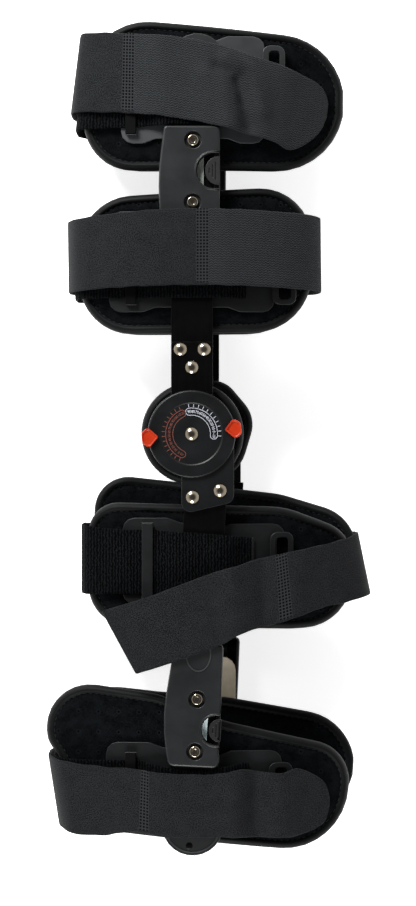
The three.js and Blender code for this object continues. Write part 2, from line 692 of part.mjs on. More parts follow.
const bandLoop = table(strapColumns,
  [86, 146, 86.6, 95.5, 0, 0], [84.5, 146, 85, 95.5, 14, 0], [77, 146.5, 77, 96, 27, 0],
  [63, 147, 63, 96.5, 36.5, 0], [42, 148, 42, 97.5, 43.6, 0], [22, 148.6, 22, 98, 47.6, 0],
  [0, 148.8, 0, 98, 48, 0], [-24, 148, -24, 97.6, 47.5, 0], [-44, 146.6, -44, 97, 43.6, 0],
  [-63, 145, -63, 96, 36.5, 0], [-76, 143.5, -75.5, 95, 28, 0], [-82, 143, -81.4, 94.6, 15, 0],
  [-83, 143, -82.2, 94.6, 0, 0], [-82, 143.5, -81.4, 95, -15, 0], [-78.5, 144, -78, 95, -26.5, 0],
  [-70, 144, -70, 95, -38, 0],
  [-53, 145, -53, 96, -46.4, 0], [-34, 146, -34, 97, bandFloor, 0], [0, 147, 0, 97, bandFloor, 0],
  [34, 147, 34, 97, bandFloor, 0], [54, 147, 54, 97, -46.4, 0], [72, 146.5, 72, 96, -36, 0],
  [83, 146, 83.4, 95.5, -20, 0]);

// Base straps lie on the shell, cross the bar or the housing's tail, and pass under the strip.
const overTail = tailTop + gap + baseThickness / 2 + 0.2;
const overBar = barTop + gap + baseThickness / 2 + 0.2;
const baseRows = {
  cuff1_base_strap: [
    ...table(strapColumns,
      [41, 248, 41, 203.5, onShell(41)], [33, 249, 33, 204, 37.2], [25, 250, 25, 204.3, overTail],
      [3, 251, 3, 204.3, overTail + 0.3], [-17.5, 252, -17.5, 204.3, overTail], [-28, 252, -28, 204, 37.4],
      [-36, 252, -36, 203, onShell(-36)], [-40.5, 252, -40.5, 203, onShell(-40.5)],
      [-46, 252, -46, 203, onShell(-46)], [-60, 252, -60.6, 203, 30.6], [-67, 252, -69, 203, 28.2],
      [-71.4, 252, -74.6, 203, 24.4], [-73, 252, -77, 203, 16]),
    ...wrapRows(baseFold1, baseWrap, -1, baseFloor, []),
  ],
  cuff2_base_strap: [
    ...table(strapColumns,
      [36, 139, 36, 89.5, onShell(36)], [26, 139, 26, 90, 37.6], [17, 139.5, 17, 90, overBar],
      [0, 139.5, 0, 90, overBar + 0.3], [-17, 139.5, -17, 90, overBar], [-27, 139.5, -27, 90, 37],
      [-36, 139.5, -36, 90, onShell(-36)], [-40.5, 139.5, -40.5, 90, onShell(-40.5)],
      [-47, 139.5, -47, 90, onShell(-47)], [-55, 139.5, -55, 90, onShell(-54)],
      [-64, 139.5, -64, 90, 29.6], [-70, 139.5, -70, 90, 27.8], [-75.2, 139.5, -75.2, 90, 24],
      [-77.3, 139.5, -77.3, 90, 16]),
    ...wrapRows(baseFold2, baseWrap, -1, baseFloor, []),
  ],
  cuff3_base_strap: [
    ...table(strapColumns,
      [41.6, -68.6, 41.6, -112.5, onShell(41.6)], [32, -67.6, 32, -112, 37], [24, -67, 24, -111, overBar],
      [7, -65.6, 7, -109.6, overBar + 0.3], [-11, -64.6, -11, -108, overBar], [-18, -64, -18, -107, 37.6],
      [-24, -63.6, -24, -106.8, onShell(-24)], [-29.4, -63.4, -29.4, -106.6, onShell(-29.4)],
      [-35, -63.4, -35, -106.5, onShell(-35)], [-46, -63, -46, -106.5, onShell(-46)],
      [-58, -62.5, -58, -106.5, 30.6], [-65.5, -61.5, -65.5, -106.5, 28.7],
      [-70.6, -60.6, -70.6, -106.5, 25.6], [-72.9, -60, -72.9, -106.5, 17]),
    ...wrapRows(baseFold3, baseWrap, -1, baseFloor, [-32, 2]),
  ],
  cuff4_base_strap: [
    ...table(strapColumns,
      [38, -217.5, 38, -260.5, onShell(38)], [31, -218, 31, -261, 38], [24, -219.5, 24, -261.5, overTail],
      [0, -221.2, 0, -262, overTail + 0.3], [-22, -219, -22, -261, overTail], [-31, -217, -31, -260, 37.6],
      [-36.4, -216, -36.4, -259, onShell(-36.4)], [-40.5, -216, -40.5, -259, onShell(-40.5)],
      [-46, -216, -46, -259, onShell(-46)], [-58, -216.4, -57, -259.3, onShell(-57)],
      [-68, -216.4, -64, -259.5, 29.8], [-85, -216, -79, -259.5, 24.2], [-91.8, -215.4, -85, -259.5, 17]),
    ...wrapRows(baseFold4, baseWrap, -1, baseFloor, []),
  ],
};

Object.entries(bandRows).forEach(([name, rows]) => {
  addPiece(brace, name, strapGeometry(rows, bandThickness), 'band');
});
addPiece(brace, 'cuff2_band', strapGeometry(bandLoop, bandThickness, true), 'band');
Object.entries(baseRows).forEach(([name, rows]) => {
  addPiece(brace, name, strapGeometry(rows, baseThickness), 'baseStrap');
});

// The origin is under the middle of the brace, on the table.
brace.updateMatrixWorld(true);
const extent = new THREE.Box3().setFromObject(brace, true);
const middle = extent.getCenter(new THREE.Vector3());
brace.position.set(-middle.x, -middle.y, -extent.min.z);

export default brace;
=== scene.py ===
import bisect
import json
import math

import bmesh
import bpy
from bmesh import ops
from mathutils import Matrix, Vector, noise

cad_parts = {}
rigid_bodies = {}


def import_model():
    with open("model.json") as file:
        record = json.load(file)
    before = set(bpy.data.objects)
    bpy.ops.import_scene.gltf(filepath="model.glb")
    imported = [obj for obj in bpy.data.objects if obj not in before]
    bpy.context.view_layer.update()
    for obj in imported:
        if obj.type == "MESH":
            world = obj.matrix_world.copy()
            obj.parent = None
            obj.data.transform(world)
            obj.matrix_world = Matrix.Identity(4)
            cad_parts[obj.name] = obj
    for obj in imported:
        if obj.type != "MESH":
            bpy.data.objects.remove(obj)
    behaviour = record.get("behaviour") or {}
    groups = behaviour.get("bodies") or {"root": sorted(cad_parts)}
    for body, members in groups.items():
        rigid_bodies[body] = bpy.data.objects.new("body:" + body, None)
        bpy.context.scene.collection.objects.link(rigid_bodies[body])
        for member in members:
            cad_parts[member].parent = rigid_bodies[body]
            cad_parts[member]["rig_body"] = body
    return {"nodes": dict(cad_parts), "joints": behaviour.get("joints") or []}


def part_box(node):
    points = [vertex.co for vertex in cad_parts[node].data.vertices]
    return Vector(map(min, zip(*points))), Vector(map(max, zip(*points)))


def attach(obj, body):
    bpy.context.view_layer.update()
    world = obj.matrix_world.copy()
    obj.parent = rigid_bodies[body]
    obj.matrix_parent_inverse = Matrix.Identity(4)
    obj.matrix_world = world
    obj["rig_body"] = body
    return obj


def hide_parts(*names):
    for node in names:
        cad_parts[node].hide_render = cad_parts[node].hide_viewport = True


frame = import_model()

mm = 0.001
tiny = 1e-6  # points closer than this are one
meshPitch = 2.1  # mm, mesh strips of the bands
scene = bpy.context.scene
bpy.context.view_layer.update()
kneeJoint = next(joint for joint in frame["joints"] if joint["name"] == "knee_hinge")
hinge = Vector(kneeJoint["pos_m"])  # centre of the dial, midway between the two sides
print("frame loaded, hinge at", [round(value, 4) for value in hinge])


# Places and sizes are given in mm from the hinge: x right, y towards the thigh, w out from the mid plane
def spot(x, y, w):
    return hinge + Vector((x, y, w)) * mm


def setUp(target, **settings):
    for key, value in settings.items():
        setattr(target, key, value)
    return target


# Node helpers for the materials
def addNode(mat, kind, inputs=None, **settings):
    made = setUp(mat.node_tree.nodes.new("ShaderNode" + kind), **settings)
    for key, value in (inputs or {}).items():
        made.inputs[key].default_value = value
    return made


def plug(mat, source, target):
    mat.node_tree.links.new(source, target)


def feed(mat, key, source):
    plug(mat, source, mat.node_tree.nodes["Principled BSDF"].inputs[key])


def calc(mat, operation, first, second):
    made = addNode(mat, "Math", operation=operation)
    for place, value in enumerate((first, second)):
        if isinstance(value, bpy.types.NodeSocket):
            plug(mat, value, made.inputs[place])
        else:
            made.inputs[place].default_value = value
    return made.outputs[0]


# The sum of values, each times its share
def blend(mat, *terms):
    total = 0.0
    for value, share in terms:
        total = calc(mat, "ADD", total, calc(mat, "MULTIPLY", value, share))
    return total


# Rises from 0 to 1 and falls again over each pitch
def ridges(mat, place, pitch):
    return calc(mat, "MULTIPLY", calc(mat, "PINGPONG", place, pitch / 2), 2 / pitch)


def startMaterial(name, sockets):
    mat = bpy.data.materials.new(name)
    mat.use_nodes = True
    for key, value in sockets.items():
        mat.node_tree.nodes["Principled BSDF"].inputs[key].default_value = value
    return mat


def grey(level, warm=0.0):
    return (level * (1 + warm), level, level * (1 - warm), 1)


def shade(mat, factor, dark, light, low=0.3, high=0.7):
    ramp = addNode(mat, "ValToRGB")
    for stop, colour, position in zip(ramp.color_ramp.elements, (dark, light), (low, high)):
        setUp(stop, color=colour, position=position)
    plug(mat, factor, ramp.inputs["Fac"])
    return ramp.outputs["Color"]


def paint(mat, factor, dark, light, **edges):
    feed(mat, "Base Color", shade(mat, factor, dark, light, **edges))


def spread(mat, factor, low, high):
    ranged = addNode(mat, "MapRange", {"To Min": low, "To Max": high})
    plug(mat, factor, ranged.inputs["Value"])
    return ranged.outputs["Result"]


def bump(mat, height, strength, depth):
    made = addNode(mat, "Bump", {"Strength": strength, "Distance": depth})
    plug(mat, height, made.inputs["Height"])
    feed(mat, "Normal", made.outputs["Normal"])


def objectPlace(mat, stretch=(1, 1, 1)):
    coords = addNode(mat, "TexCoord")
    mapping = addNode(mat, "Mapping", {"Scale": stretch})
    plug(mat, coords.outputs["Object"], mapping.inputs["Vector"])
    return mapping.outputs["Vector"]


def axesOf(mat, place):
    parts = addNode(mat, "SeparateXYZ")
    plug(mat, place, parts.inputs["Vector"])
    return parts.outputs


def speckle(mat, place, scale, detail=3.0, roughness=0.6):
    made = addNode(mat, "TexNoise", {"Scale": scale, "Detail": detail, "Roughness": roughness})
    plug(mat, place, made.inputs["Vector"])
    return made.outputs["Fac"]


# Moulded plastic: fine grain in the bump, cloudy handling marks in colour and roughness
def mouldedPlastic(name, dark, light, rough, grainSize=0.0005, coat=0.0, gloss=0.34, smoother=0.06,
                   rougher=0.08):
    mat = startMaterial(name, {"Specular IOR Level": gloss, "Coat Weight": coat, "Coat Roughness": 0.25})
    place = objectPlace(mat)
    cloud = speckle(mat, place, scale=60)
    paint(mat, cloud, dark, light)
    feed(mat, "Roughness", spread(mat, cloud, rough - smoother, rough + rougher))
    bump(mat, speckle(mat, place, scale=1 / grainSize, detail=2), strength=0.25, depth=0.00006)
    return mat


# Metal: fine lines along the piece, stretched noise
def brushedMetal(name, dark, light, metal, rough, stretch=(1, 1, 1), depth=0.00002, gloss=0.5, smoother=0.07,
                 rougher=0.1):
    mat = startMaterial(name, {"Metallic": metal, "Specular IOR Level": gloss})
    lines = speckle(mat, objectPlace(mat, stretch), scale=700, detail=4)
    paint(mat, speckle(mat, objectPlace(mat), scale=140), dark, light)
    feed(mat, "Roughness", spread(mat, lines, rough - smoother, rough + rougher))
    bump(mat, lines, strength=0.3, depth=depth)
    return mat


# A strap's own place: along it and across it, in metres
def strapPlace(mat):
    uv = addNode(mat, "UVMap", uv_map="strap").outputs["UV"]
    axes = axesOf(mat, uv)
    return uv, axes["X"], axes["Y"]


def clothMaterial(name, sheen, rough=0.92, gloss=0.06):
    return startMaterial(name, {
        "Roughness": rough, "Specular IOR Level": gloss, "Sheen Weight": sheen, "Sheen Roughness": 0.45,
    })


# Band face that has been brushed: short fuzz with a faint cross weave under it
def brushedBand(name, dark, light, weave=0.0008, weaveLift=0.28):
    mat = clothMaterial(name, sheen=0.03)
    uv, along, across = strapPlace(mat)
    fuzz = speckle(mat, uv, scale=1450, detail=2)
    mixed = blend(mat, (fuzz, 0.9), (speckle(mat, uv, scale=120), 0.1))
    threads = [(ridges(mat, axis, weave), weaveLift) for axis in (along, across)]
    paint(mat, mixed, dark, light, low=0.42, high=0.6)
    bump(mat, blend(mat, *threads, (fuzz, 1)), strength=0.6, depth=0.0003)
    return mat


# Band face that is knitted: rows of small chevrons across the strap
def zigzagBand(name, dark, light, knitRow=0.0016, knitTurn=0.0028, slant=0.7):
    mat = clothMaterial(name, sheen=0.03)
    uv, along, across = strapPlace(mat)
    chevron = blend(mat, (across, 1), (calc(mat, "PINGPONG", along, knitTurn / 2), slant))
    ridge = ridges(mat, chevron, knitRow)
    fuzz = speckle(mat, uv, scale=1150, detail=2)
    mixed = blend(mat, (ridge, 0.36), (fuzz, 0.56), (speckle(mat, uv, scale=90), 0.08))
    paint(mat, mixed, dark, light, low=0.28, high=0.72)
    bump(mat, calc(mat, "ADD", ridge, fuzz), strength=0.7, depth=0.00045)
    return mat


# Strip of open mesh in a band: square holes between threads
def meshBand(name, dark, light, hole=0.0013):
    mat = clothMaterial(name, sheen=0.02)
    uv, *axes = strapPlace(mat)
    waves = [calc(mat, "PINGPONG", axis, meshPitch * mm / 2) for axis in axes]
    gaps = [calc(mat, "LESS_THAN", wave, hole / 2) for wave in waves]
    thread = calc(mat, "SUBTRACT", 1.0, calc(mat, "MULTIPLY", *gaps))
    fuzz = speckle(mat, uv, scale=1350, detail=2)
    mixed = calc(mat, "MULTIPLY", thread, blend(mat, (fuzz, 0.5), (1, 0.35)))
    paint(mat, mixed, dark, light, low=0.1, high=0.72)
    bump(mat, blend(mat, (thread, 1), (fuzz, 0.3)), strength=0.9, depth=0.0006)
    return mat


# Hook-catching loop pile of the base straps: ribs across the strap, ragged loops on them
def loopPile(name, dark, light, rib=0.0021, ragged=1.6):
    mat = clothMaterial(name, sheen=0.01, gloss=0.02)
    uv, along, _ = strapPlace(mat)
    ribs = ridges(mat, blend(mat, (along, 1), (speckle(mat, uv, scale=420, detail=2), ragged * rib)), rib)
    loops = speckle(mat, uv, scale=950, detail=4, roughness=0.8)
    tufts = calc(mat, "MULTIPLY", loops, blend(mat, (ribs, 0.55), (1, 0.45)))
    paint(mat, tufts, dark, light, high=0.6)
    bump(mat, blend(mat, (ribs, 0.5), (loops, 1)), strength=0.8, depth=0.0006)
    return mat


# Pad face: short matted pile with vent holes punched on a square grid, each with a lighter ring round it
def padFace(name, dark, light, ringGrey, ventPitch=0.027, ventRadius=0.0008, ringRadius=0.00152):
    mat = clothMaterial(name, sheen=0.01, gloss=0.02)
    place = objectPlace(mat)
    pile = speckle(mat, place, scale=1300, detail=6, roughness=0.75)
    matted = speckle(mat, place, scale=150)
    axes = axesOf(mat, place)
    waves = [calc(mat, "PINGPONG", axes[axis], ventPitch / 2) for axis in ("X", "Y")]
    offs = [calc(mat, "SUBTRACT", wave, ventPitch / 4) for wave in waves]
    squared = blend(mat, *[(off, off) for off in offs])
    cloth = calc(mat, "GREATER_THAN", squared, ventRadius ** 2)
    ring = calc(mat, "MULTIPLY", cloth, calc(mat, "LESS_THAN", squared, ringRadius ** 2))
    mixed = calc(mat, "MULTIPLY", blend(mat, (pile, 0.72), (matted, 0.28)), cloth)
    worked = addNode(mat, "Mix", data_type="RGBA")
    plain, ringColour, result = worked.inputs[6], worked.inputs[7], worked.outputs[2]  # its colour sockets
    plug(mat, calc(mat, "MULTIPLY", ring, matted), worked.inputs["Factor"])
    plug(mat, shade(mat, mixed, dark, light, low=0.4, high=0.64), plain)
    # Each vent ring takes this lighter grey
    ringColour.default_value = ringGrey
    feed(mat, "Base Color", result)
    bump(mat, blend(mat, (pile, 1), (cloth, 2)), strength=0.8, depth=0.0005)
    return mat


# Stretch binding round a pad's edge: smooth, with a faint knit
def padBinding(name, dark, light):
    mat = clothMaterial(name, sheen=0.03, rough=0.6, gloss=0.09)
    place = objectPlace(mat)
    paint(mat, speckle(mat, place, scale=110), dark, light)
    bump(mat, speckle(mat, place, scale=1900, detail=2), strength=0.35, depth=0.0001)
    return mat


def printedInk(name, dark, light):
    mat = startMaterial(name, {"Roughness": 0.6})
    paint(mat, speckle(mat, objectPlace(mat), scale=900), dark, light)
    return mat


looks = {
    "housing": mouldedPlastic("housing satin", grey(0.0055, -0.08), grey(0.0085, -0.08), 0.4),
    # One shell plastic in two copies: this lighter one carries painted light for cuff 1's lit shells, and the
    # calf rims use it too
    "shell": mouldedPlastic("shell satin", grey(0.019, -0.08), grey(0.027, -0.08), 0.46),
    # Near-black painted shade for the strips under the bands
    "strip": mouldedPlastic("shell strip dark", grey(0.0007, -0.05), grey(0.0014, -0.05), 0.75, gloss=0.05),
    "clip": mouldedPlastic("clip satin", grey(0.011, -0.05), grey(0.016, -0.05), 0.42),
    # The same shell plastic made near-black as painted shade, for the lower cuffs' shells and clips
    "darkShell": mouldedPlastic("dark shell satin", grey(0.0022, -0.12), grey(0.004, -0.12), 0.46, gloss=0.22),
    "button": mouldedPlastic("button satin", grey(0.005), grey(0.008), 0.44),
    "stop": mouldedPlastic(
        "stop orange", (0.27, 0.014, 0.0006, 1), (0.37, 0.022, 0.0012, 1), 0.36, grainSize=0.0012, coat=0.12),
    "dial": mouldedPlastic(
        "dial matte", grey(0.0014, -0.14), grey(0.0032, -0.14), 0.42, grainSize=0.0004, gloss=0.22),
    "bar": brushedMetal(
        "bar anodised", grey(0.0003), grey(0.0009), 0.0, 0.32, stretch=(1, 0.05, 1), depth=0.000004,
        gloss=0.11),
    "rivet": brushedMetal("rivet nickel", (0.26, 0.22, 0.165, 1), (0.36, 0.315, 0.245, 1), 1.0, 0.15),
    # Lock plates: each metal's own tint, set brighter to offset the shade they lie in and to stand for the
    # light they reflect: partly painted light
    "thighLock": brushedMetal(
        "lock plate grey green", (0.17, 0.195, 0.175, 1), (0.32, 0.35, 0.32, 1), 0.1, 0.4),
    "calfLock": brushedMetal("lock plate pale", (0.74, 0.9, 0.92, 1), (0.82, 0.95, 0.97, 1), 0.1, 0.35),
    "medialLock": brushedMetal("lock plate sand", (0.72, 0.62, 0.45, 1), (0.84, 0.74, 0.57, 1), 0.05, 0.45),
    "bandBrushed": brushedBand("band brushed", grey(0.002, -0.08), grey(0.0175, -0.08)),
    "bandZigzag": zigzagBand("band zigzag knit", grey(0.0038, -0.08), grey(0.027, -0.08)),
    "bandMesh": meshBand("band mesh", grey(0.0004), grey(0.024, -0.08)),
    "baseStrap": loopPile("base strap loop pile", grey(0.0001), grey(0.0085, -0.16)),
    "padFace": padFace("pad pile", grey(0.0001, -0.2), grey(0.0056, -0.2), grey(0.008, -0.2)),
    "padBinding": padBinding("pad binding", grey(0.0008, -0.18), grey(0.002, -0.18)),
    "stitch": padBinding("stitch thread", grey(0.007), grey(0.013)),
    "inkWhite": printedInk("dial ink white", (0.3, 0.31, 0.35, 1), (0.42, 0.43, 0.48, 1)),
    "inkRed": printedInk("dial ink red", (0.085, 0.015, 0.007, 1), (0.125, 0.023, 0.011, 1)),
}
print("materials made:", len(looks))


def addObject(name, data):
    made = bpy.data.objects.new(name, data)
    scene.collection.objects.link(made)
    return made


def addMesh(name, bm, materials):
    mesh = bpy.data.meshes.new(name)
    bm.to_mesh(mesh)
    bm.free()
    for mat in materials:
        mesh.materials.append(mat)
    return addObject(name, mesh)


# Adds a piece that rides the body of a CAD node and may stand for that node
def addPiece(name, bm, materials, node, replaced):
    piece = addMesh(name, bm, [looks[look] for look in materials])
    piece.data.shade_smooth()
    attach(piece, frame["nodes"][node]["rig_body"])
    if replaced:
        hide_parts(node)
    return piece


# A closed piece with its faces outward
def makePiece(name, bm, materials, node, replaced=True, sharpest=38):
    ops.remove_doubles(bm, verts=bm.verts, dist=tiny)
    ops.recalc_face_normals(bm, faces=bm.faces)
    if bm.calc_volume(signed=True) < 0:
        ops.reverse_faces(bm, faces=bm.faces)
    piece = addPiece(name, bm, materials, node, replaced)
    piece.data.set_sharp_from_angle(angle=math.radians(sharpest))
    return piece


# A closed outline through corners, each with its radius
def roundOutline(corners, arcSteps=8):
    arcs = []
    for i, (x, y, radius) in enumerate(corners):
        here = Vector((x, y))
        before = (Vector(corners[i - 1][:2]) - here).normalized()
        after = (Vector(corners[(i + 1) % len(corners)][:2]) - here).normalized()
        if radius == 0:
            arcs.append([here])
            continue
        half = before.angle(after) / 2
        centre = here + (before + after).normalized() * radius / math.sin(half)
        start = here + before * radius / math.tan(half) - centre
        turn = math.copysign(math.pi - 2 * half, start.cross(here - centre))
        spins = [Matrix.Rotation(turn * step / arcSteps, 2) for step in range(arcSteps + 1)]
        arcs.append([centre + spin @ start for spin in spins])
    for i, arc in enumerate(arcs):  # arcs that meet are trimmed where they would double back
        before = arcs[i - 1]
        side = Vector(corners[i][:2]) - Vector(corners[i - 1][:2])
        while len(before) > 2 and len(arc) > 2 and (arc[0] - before[-1]).dot(side) <= 0:
            before.pop()
            arc.pop(0)
    return [point for arc in arcs for point in arc]


def respaced(outline, count):
    lengths = [(outline[(i + 1) % len(outline)] - point).length for i, point in enumerate(outline)]
    step = sum(lengths) / count
    points = []
    side, gone = 0, 0.0
    for i in range(count):
        while i * step - gone > lengths[side]:
            gone += lengths[side]
            side += 1
        share = (i * step - gone) / lengths[side]
        points.append(outline[side].lerp(outline[(side + 1) % len(outline)], share))
    return points


insetPerPoint = 3  # mm; deeper rows follow a smoother edge


def insetOutline(outline, inset):
    points = []
    reach = 1 + round(inset / insetPerPoint)
    for i, point in enumerate(outline):
        run = outline[(i + reach) % len(outline)] - outline[i - reach]
        points.append(point + Vector((-run.y, run.x)).normalized() * inset)
    return points


def scaledOutline(outline, share):
    centre = sum(outline, Vector((0, 0))) / len(outline)
    return [centre.lerp(point, share) for point in outline]


def ovalRing(x, y, halfWidth, halfHeight, count=72):
    turns = [2 * math.pi * i / count for i in range(count)]
    return [Vector((x + halfWidth * math.cos(turn), y + halfHeight * math.sin(turn))) for turn in turns]


def circleRing(x, y, radius, count):
    return ovalRing(x, y, radius, radius, count)


# Extrudes one ring of points into the next and caps both ends
def ringStack(bm, rings, capped=True):
    loop = ops.create_circle(bm, cap_ends=False, segments=len(rings[0]), radius=1)["verts"]
    edges = list(dict.fromkeys(edge for vert in loop for edge in vert.link_edges))
    for vert, point in zip(loop, rings[0]):
        vert.co = point
    loops = [loop]
    if capped:
        ops.edgeloop_fill(bm, edges=edges)
    for ring in rings[1:]:
        grown = ops.extrude_edge_only(bm, edges=edges)["geom"]
        fresh = {part for part in grown if isinstance(part, bmesh.types.BMVert)}
        edges = [part for part in grown if isinstance(part, bmesh.types.BMEdge)]
        above = [next(edge.other_vert(vert) for edge in vert.link_edges if edge.other_vert(vert) in fresh)
                 for vert in loops[-1]]
        for vert, point in zip(above, ring):
            vert.co = point
        edges = [edge for edge in edges if all(vert in fresh for vert in edge.verts)]
        loops.append(above)
    if capped:
        ops.edgeloop_fill(bm, edges=edges)
    return loops


# Stacks flat outlines, each at its w
def stackLevels(bm, rows, capped=True):
    ringStack(bm, [[spot(point.x, point.y, w) for point in outline] for outline, w in rows], capped)


# A flat plate with broken edges
def slab(bm, outline, low, high, edge):
    inner = insetOutline(outline, edge)
    stackLevels(bm, [(inner, low), (outline, low + edge), (outline, high - edge), (inner, high)])


# A raised line between two outlines
def ribbon(bm, wide, slim, low, top, slope=0):
    inner, outer = insetOutline(wide, slope), insetOutline(slim, -slope)
    stackLevels(bm, [(wide, low), (inner, top), (outer, top), (slim, low), (wide, low)], capped=False)


def turned(bm, x, y, profile, count):
    stackLevels(bm, [(circleRing(x, y, radius, count), w) for radius, w in profile])


legRadius = 300.0  # mm, curvature of pads and shells across the leg


def saddle(x):
    return x * x / (2 * legRadius)


# Strips that hold a base strap under a band get painted shade: a near-black copy of the shell plastic
paintedShadeStrips = {"nodes": [f"cuff{i}_lateral_shell" for i in (1, 2, 4)], "above": 36.4}
refine = {"merge": 2e-5, "flatAngle": 1, "sharpAngle": 30, "segments": 2, "profile": 0.5}


# A copy of a CAD node with merged facets and broken edges
def refineNode(node, look, edge):
    dark = node in paintedShadeStrips["nodes"]
    bm = bmesh.new()
    bm.from_mesh(frame["nodes"][node].data)
    ops.remove_doubles(bm, verts=bm.verts, dist=refine["merge"])
    flat, sharp = math.radians(refine["flatAngle"]), math.radians(refine["sharpAngle"])
    ops.dissolve_limit(bm, angle_limit=flat, verts=bm.verts, edges=bm.edges)
    corners = [part for part in bm.edges if part.is_manifold and part.calc_face_angle() > sharp]
    ops.bevel(bm, geom=corners, offset=edge * mm, offset_type="OFFSET", affect="EDGES",
              segments=refine["segments"], profile=refine["profile"], material=-1, clamp_overlap=False)
    # Strip faces above the shell take the near-black painted shade
    for face in bm.faces:
        middle = (face.calc_center_median() - hinge) / mm
        face.material_index = int(dark and middle.z + saddle(middle.x) > paintedShadeStrips["above"])
    piece = makePiece(node + "_finished", bm, [look, "strip"] if dark else [look], node)
    setUp(piece.modifiers.new("even shading", "WEIGHTED_NORMAL"), keep_sharp=True)


bothSides = ("lateral", "medial")
lowerCuffs = (2, 3, 4)
bars = ("upper_bar", "lower_bar", "hinge_arm")
hardNodes = [  # look, slot, edge in mm, nodes
    ("housing", "housing", 0.45, [f"{side}_{end}_housing" for side in bothSides for end in ("thigh", "calf")]),
    ("bar", "bar", 0.35, [f"{side}_{bar}" for side in bothSides for bar in bars]),
    ("shell", "shell", 0.5, ["cuff1_lateral_shell", "cuff1_medial_shell"]),
    # Lower cuffs: shells and clips in the painted shade copy of the shell plastic
    ("darkShell", "shell", 0.5, [f"cuff{i}_{side}_shell" for i in lowerCuffs for side in bothSides]),
    ("clip", "clip", 0.55, ["cuff1_clip"]),
    ("darkShell", "clip", 0.55, [f"cuff{i}_clip" for i in lowerCuffs]),
    ("button", "button", 0.25, ["thigh_button", "calf_button"]),
    ("thighLock", "lock_plate", 0.12, ["thigh_lock_plate"]),
    ("calfLock", "lock_plate", 0.12, ["calf_lock_plate"]),
    ("medialLock", "lock_plate", 0.12, ["medial_lock_plate"]),
]
for look, slot, edge, nodes in hardNodes:
    for node in nodes:
        refineNode(node, look, edge)
print("moulded and bar pieces refined")

# Low rims and a mould mark on the calf housing
calfMarks = {
    "node": "lateral_calf_housing", "slope": 0.2,
    "rims": {  # centre, half width and height, line, foot and top w
        "calf_oval_rim": (4.5, -145, 8.6, 12, 1.1, 45.7, 46.45),
        "calf_tab_rim": (0.68, -258.39, 18.9, 18.9, 1.2, 40.2, 40.95),
    },
    "dot": (-1.6, -272.3), "dotRows": [(2.3, 40.2), (2.3, 40.52), (2.1, 40.62), (0.3, 40.62)],  # radius, w
    "dotPoints": 32,
}
for name, (x, y, halfWidth, halfHeight, line, low, top) in calfMarks["rims"].items():
    wide, slim = [ovalRing(x, y, halfWidth - cut, halfHeight - cut) for cut in (0, line)]
    bm = bmesh.new()
    ribbon(bm, wide, slim, low, top, calfMarks["slope"])
    makePiece(name, bm, ["shell"], calfMarks["node"], replaced=False)
bm = bmesh.new()
turned(bm, *calfMarks["dot"], calfMarks["dotRows"], calfMarks["dotPoints"])
makePiece("calf_tab_dot", bm, ["bar"], calfMarks["node"], replaced=False)

# Dial plates with their lower bracket
dial = {
    "profile": [(1, 42.6), (28.5, 42.6), (29, 43.1), (29, 46), (28.75, 46.6), (28.3, 47.05), (27.8, 47.2),
                (27.5, 47.2), (21.2, 47.2), (20.9, 47.2), (20.6, 47.1), (20.1, 46.68), (19.8, 46.6),
                (19.5, 46.6), (5, 46.6), (1, 46.6)],  # radius, w
    "points": 96, "face": 46.6,
    "bracket": [(-6.7, -53, 6), (28, -45, 6), (28, -7.5, 0), (0, 0, 0), (-6.7, -24, 0)],
    "bracketSpan": (42.6, 45.0), "bracketEdge": 0.35, "medialShift": 5.5,
}


def buildDial(node, side, shift):
    bm = bmesh.new()
    turned(bm, 0, 0, [(radius, w * side) for radius, w in dial["profile"]], dial["points"])
    outline = roundOutline([(x + shift, y, radius) for x, y, radius in dial["bracket"]])
    low, high = sorted(w * side for w in dial["bracketSpan"])
    slab(bm, outline, low, high, dial["bracketEdge"])
    makePiece(node + "_finished", bm, ["dial"], node)


buildDial("lateral_dial_plate", 1, 0)
buildDial("medial_dial_plate", -1, dial["medialShift"])

# Scales printed on the lateral dial: angles in degrees, sizes in mm
scales = {
    "white": {"first": 96, "last": -4, "line": 0.34, "labels": range(90, -11, -10), "size": 2.7},
    "red": {"first": 115, "last": 245, "line": 0.42, "labels": range(120, -11, -10), "size": 2.4},
}
printed = {
    "height": 0.05, "bold": 0.01, "spacing": 0.86, "tick": (17.7, 19.7), "tickBold": 1.1, "ring": (12.4, 17.1),
    "arcSteps": 48, "capSteps": 12,
}


def onDial(radius, degrees):
    turn = math.radians(degrees)
    return Vector((radius * math.cos(turn), radius * math.sin(turn)))


def capsulePath(scale):
    inner, outer = printed["ring"]
    middle, half = (inner + outer) / 2, (outer - inner) / 2
    low, high = sorted((scale["first"], scale["last"]))
    steps, capSteps = printed["arcSteps"], printed["capSteps"]
    caps = [180 * i / capSteps for i in range(1, capSteps)]
    points = [onDial(outer, low + (high - low) * i / steps) for i in range(steps + 1)]
    points += [onDial(middle, high) + onDial(half, high + cap) for cap in caps]
    points += [onDial(inner, high + (low - high) * i / steps) for i in range(steps + 1)]
    return points + [onDial(middle, low) + onDial(half, low + 180 + cap) for cap in caps]


def addLabel(bm, text, size, degrees, w):
    font = setUp(bpy.data.curves.new("label", "FONT"), body=text, size=size * mm, align_x="CENTER",
                 align_y="CENTER", extrude=printed["height"] * mm / 2, resolution_u=2,
                 offset=printed["bold"] * mm, space_character=printed["spacing"])
    holder = addObject("label", font)
    bpy.context.view_layer.update()
    flat = bpy.data.meshes.new_from_object(holder.evaluated_get(bpy.context.evaluated_depsgraph_get()))
    centre = onDial(sum(printed["ring"]) / 2, degrees)
    upright = Matrix.Rotation(math.radians(degrees - 90), 4, "Z")
    flat.transform(Matrix.Translation(spot(centre.x, centre.y, w)) @ upright)
    bm.from_mesh(flat)
    bpy.data.objects.remove(holder)
    bpy.data.curves.remove(font)
    bpy.data.meshes.remove(flat)


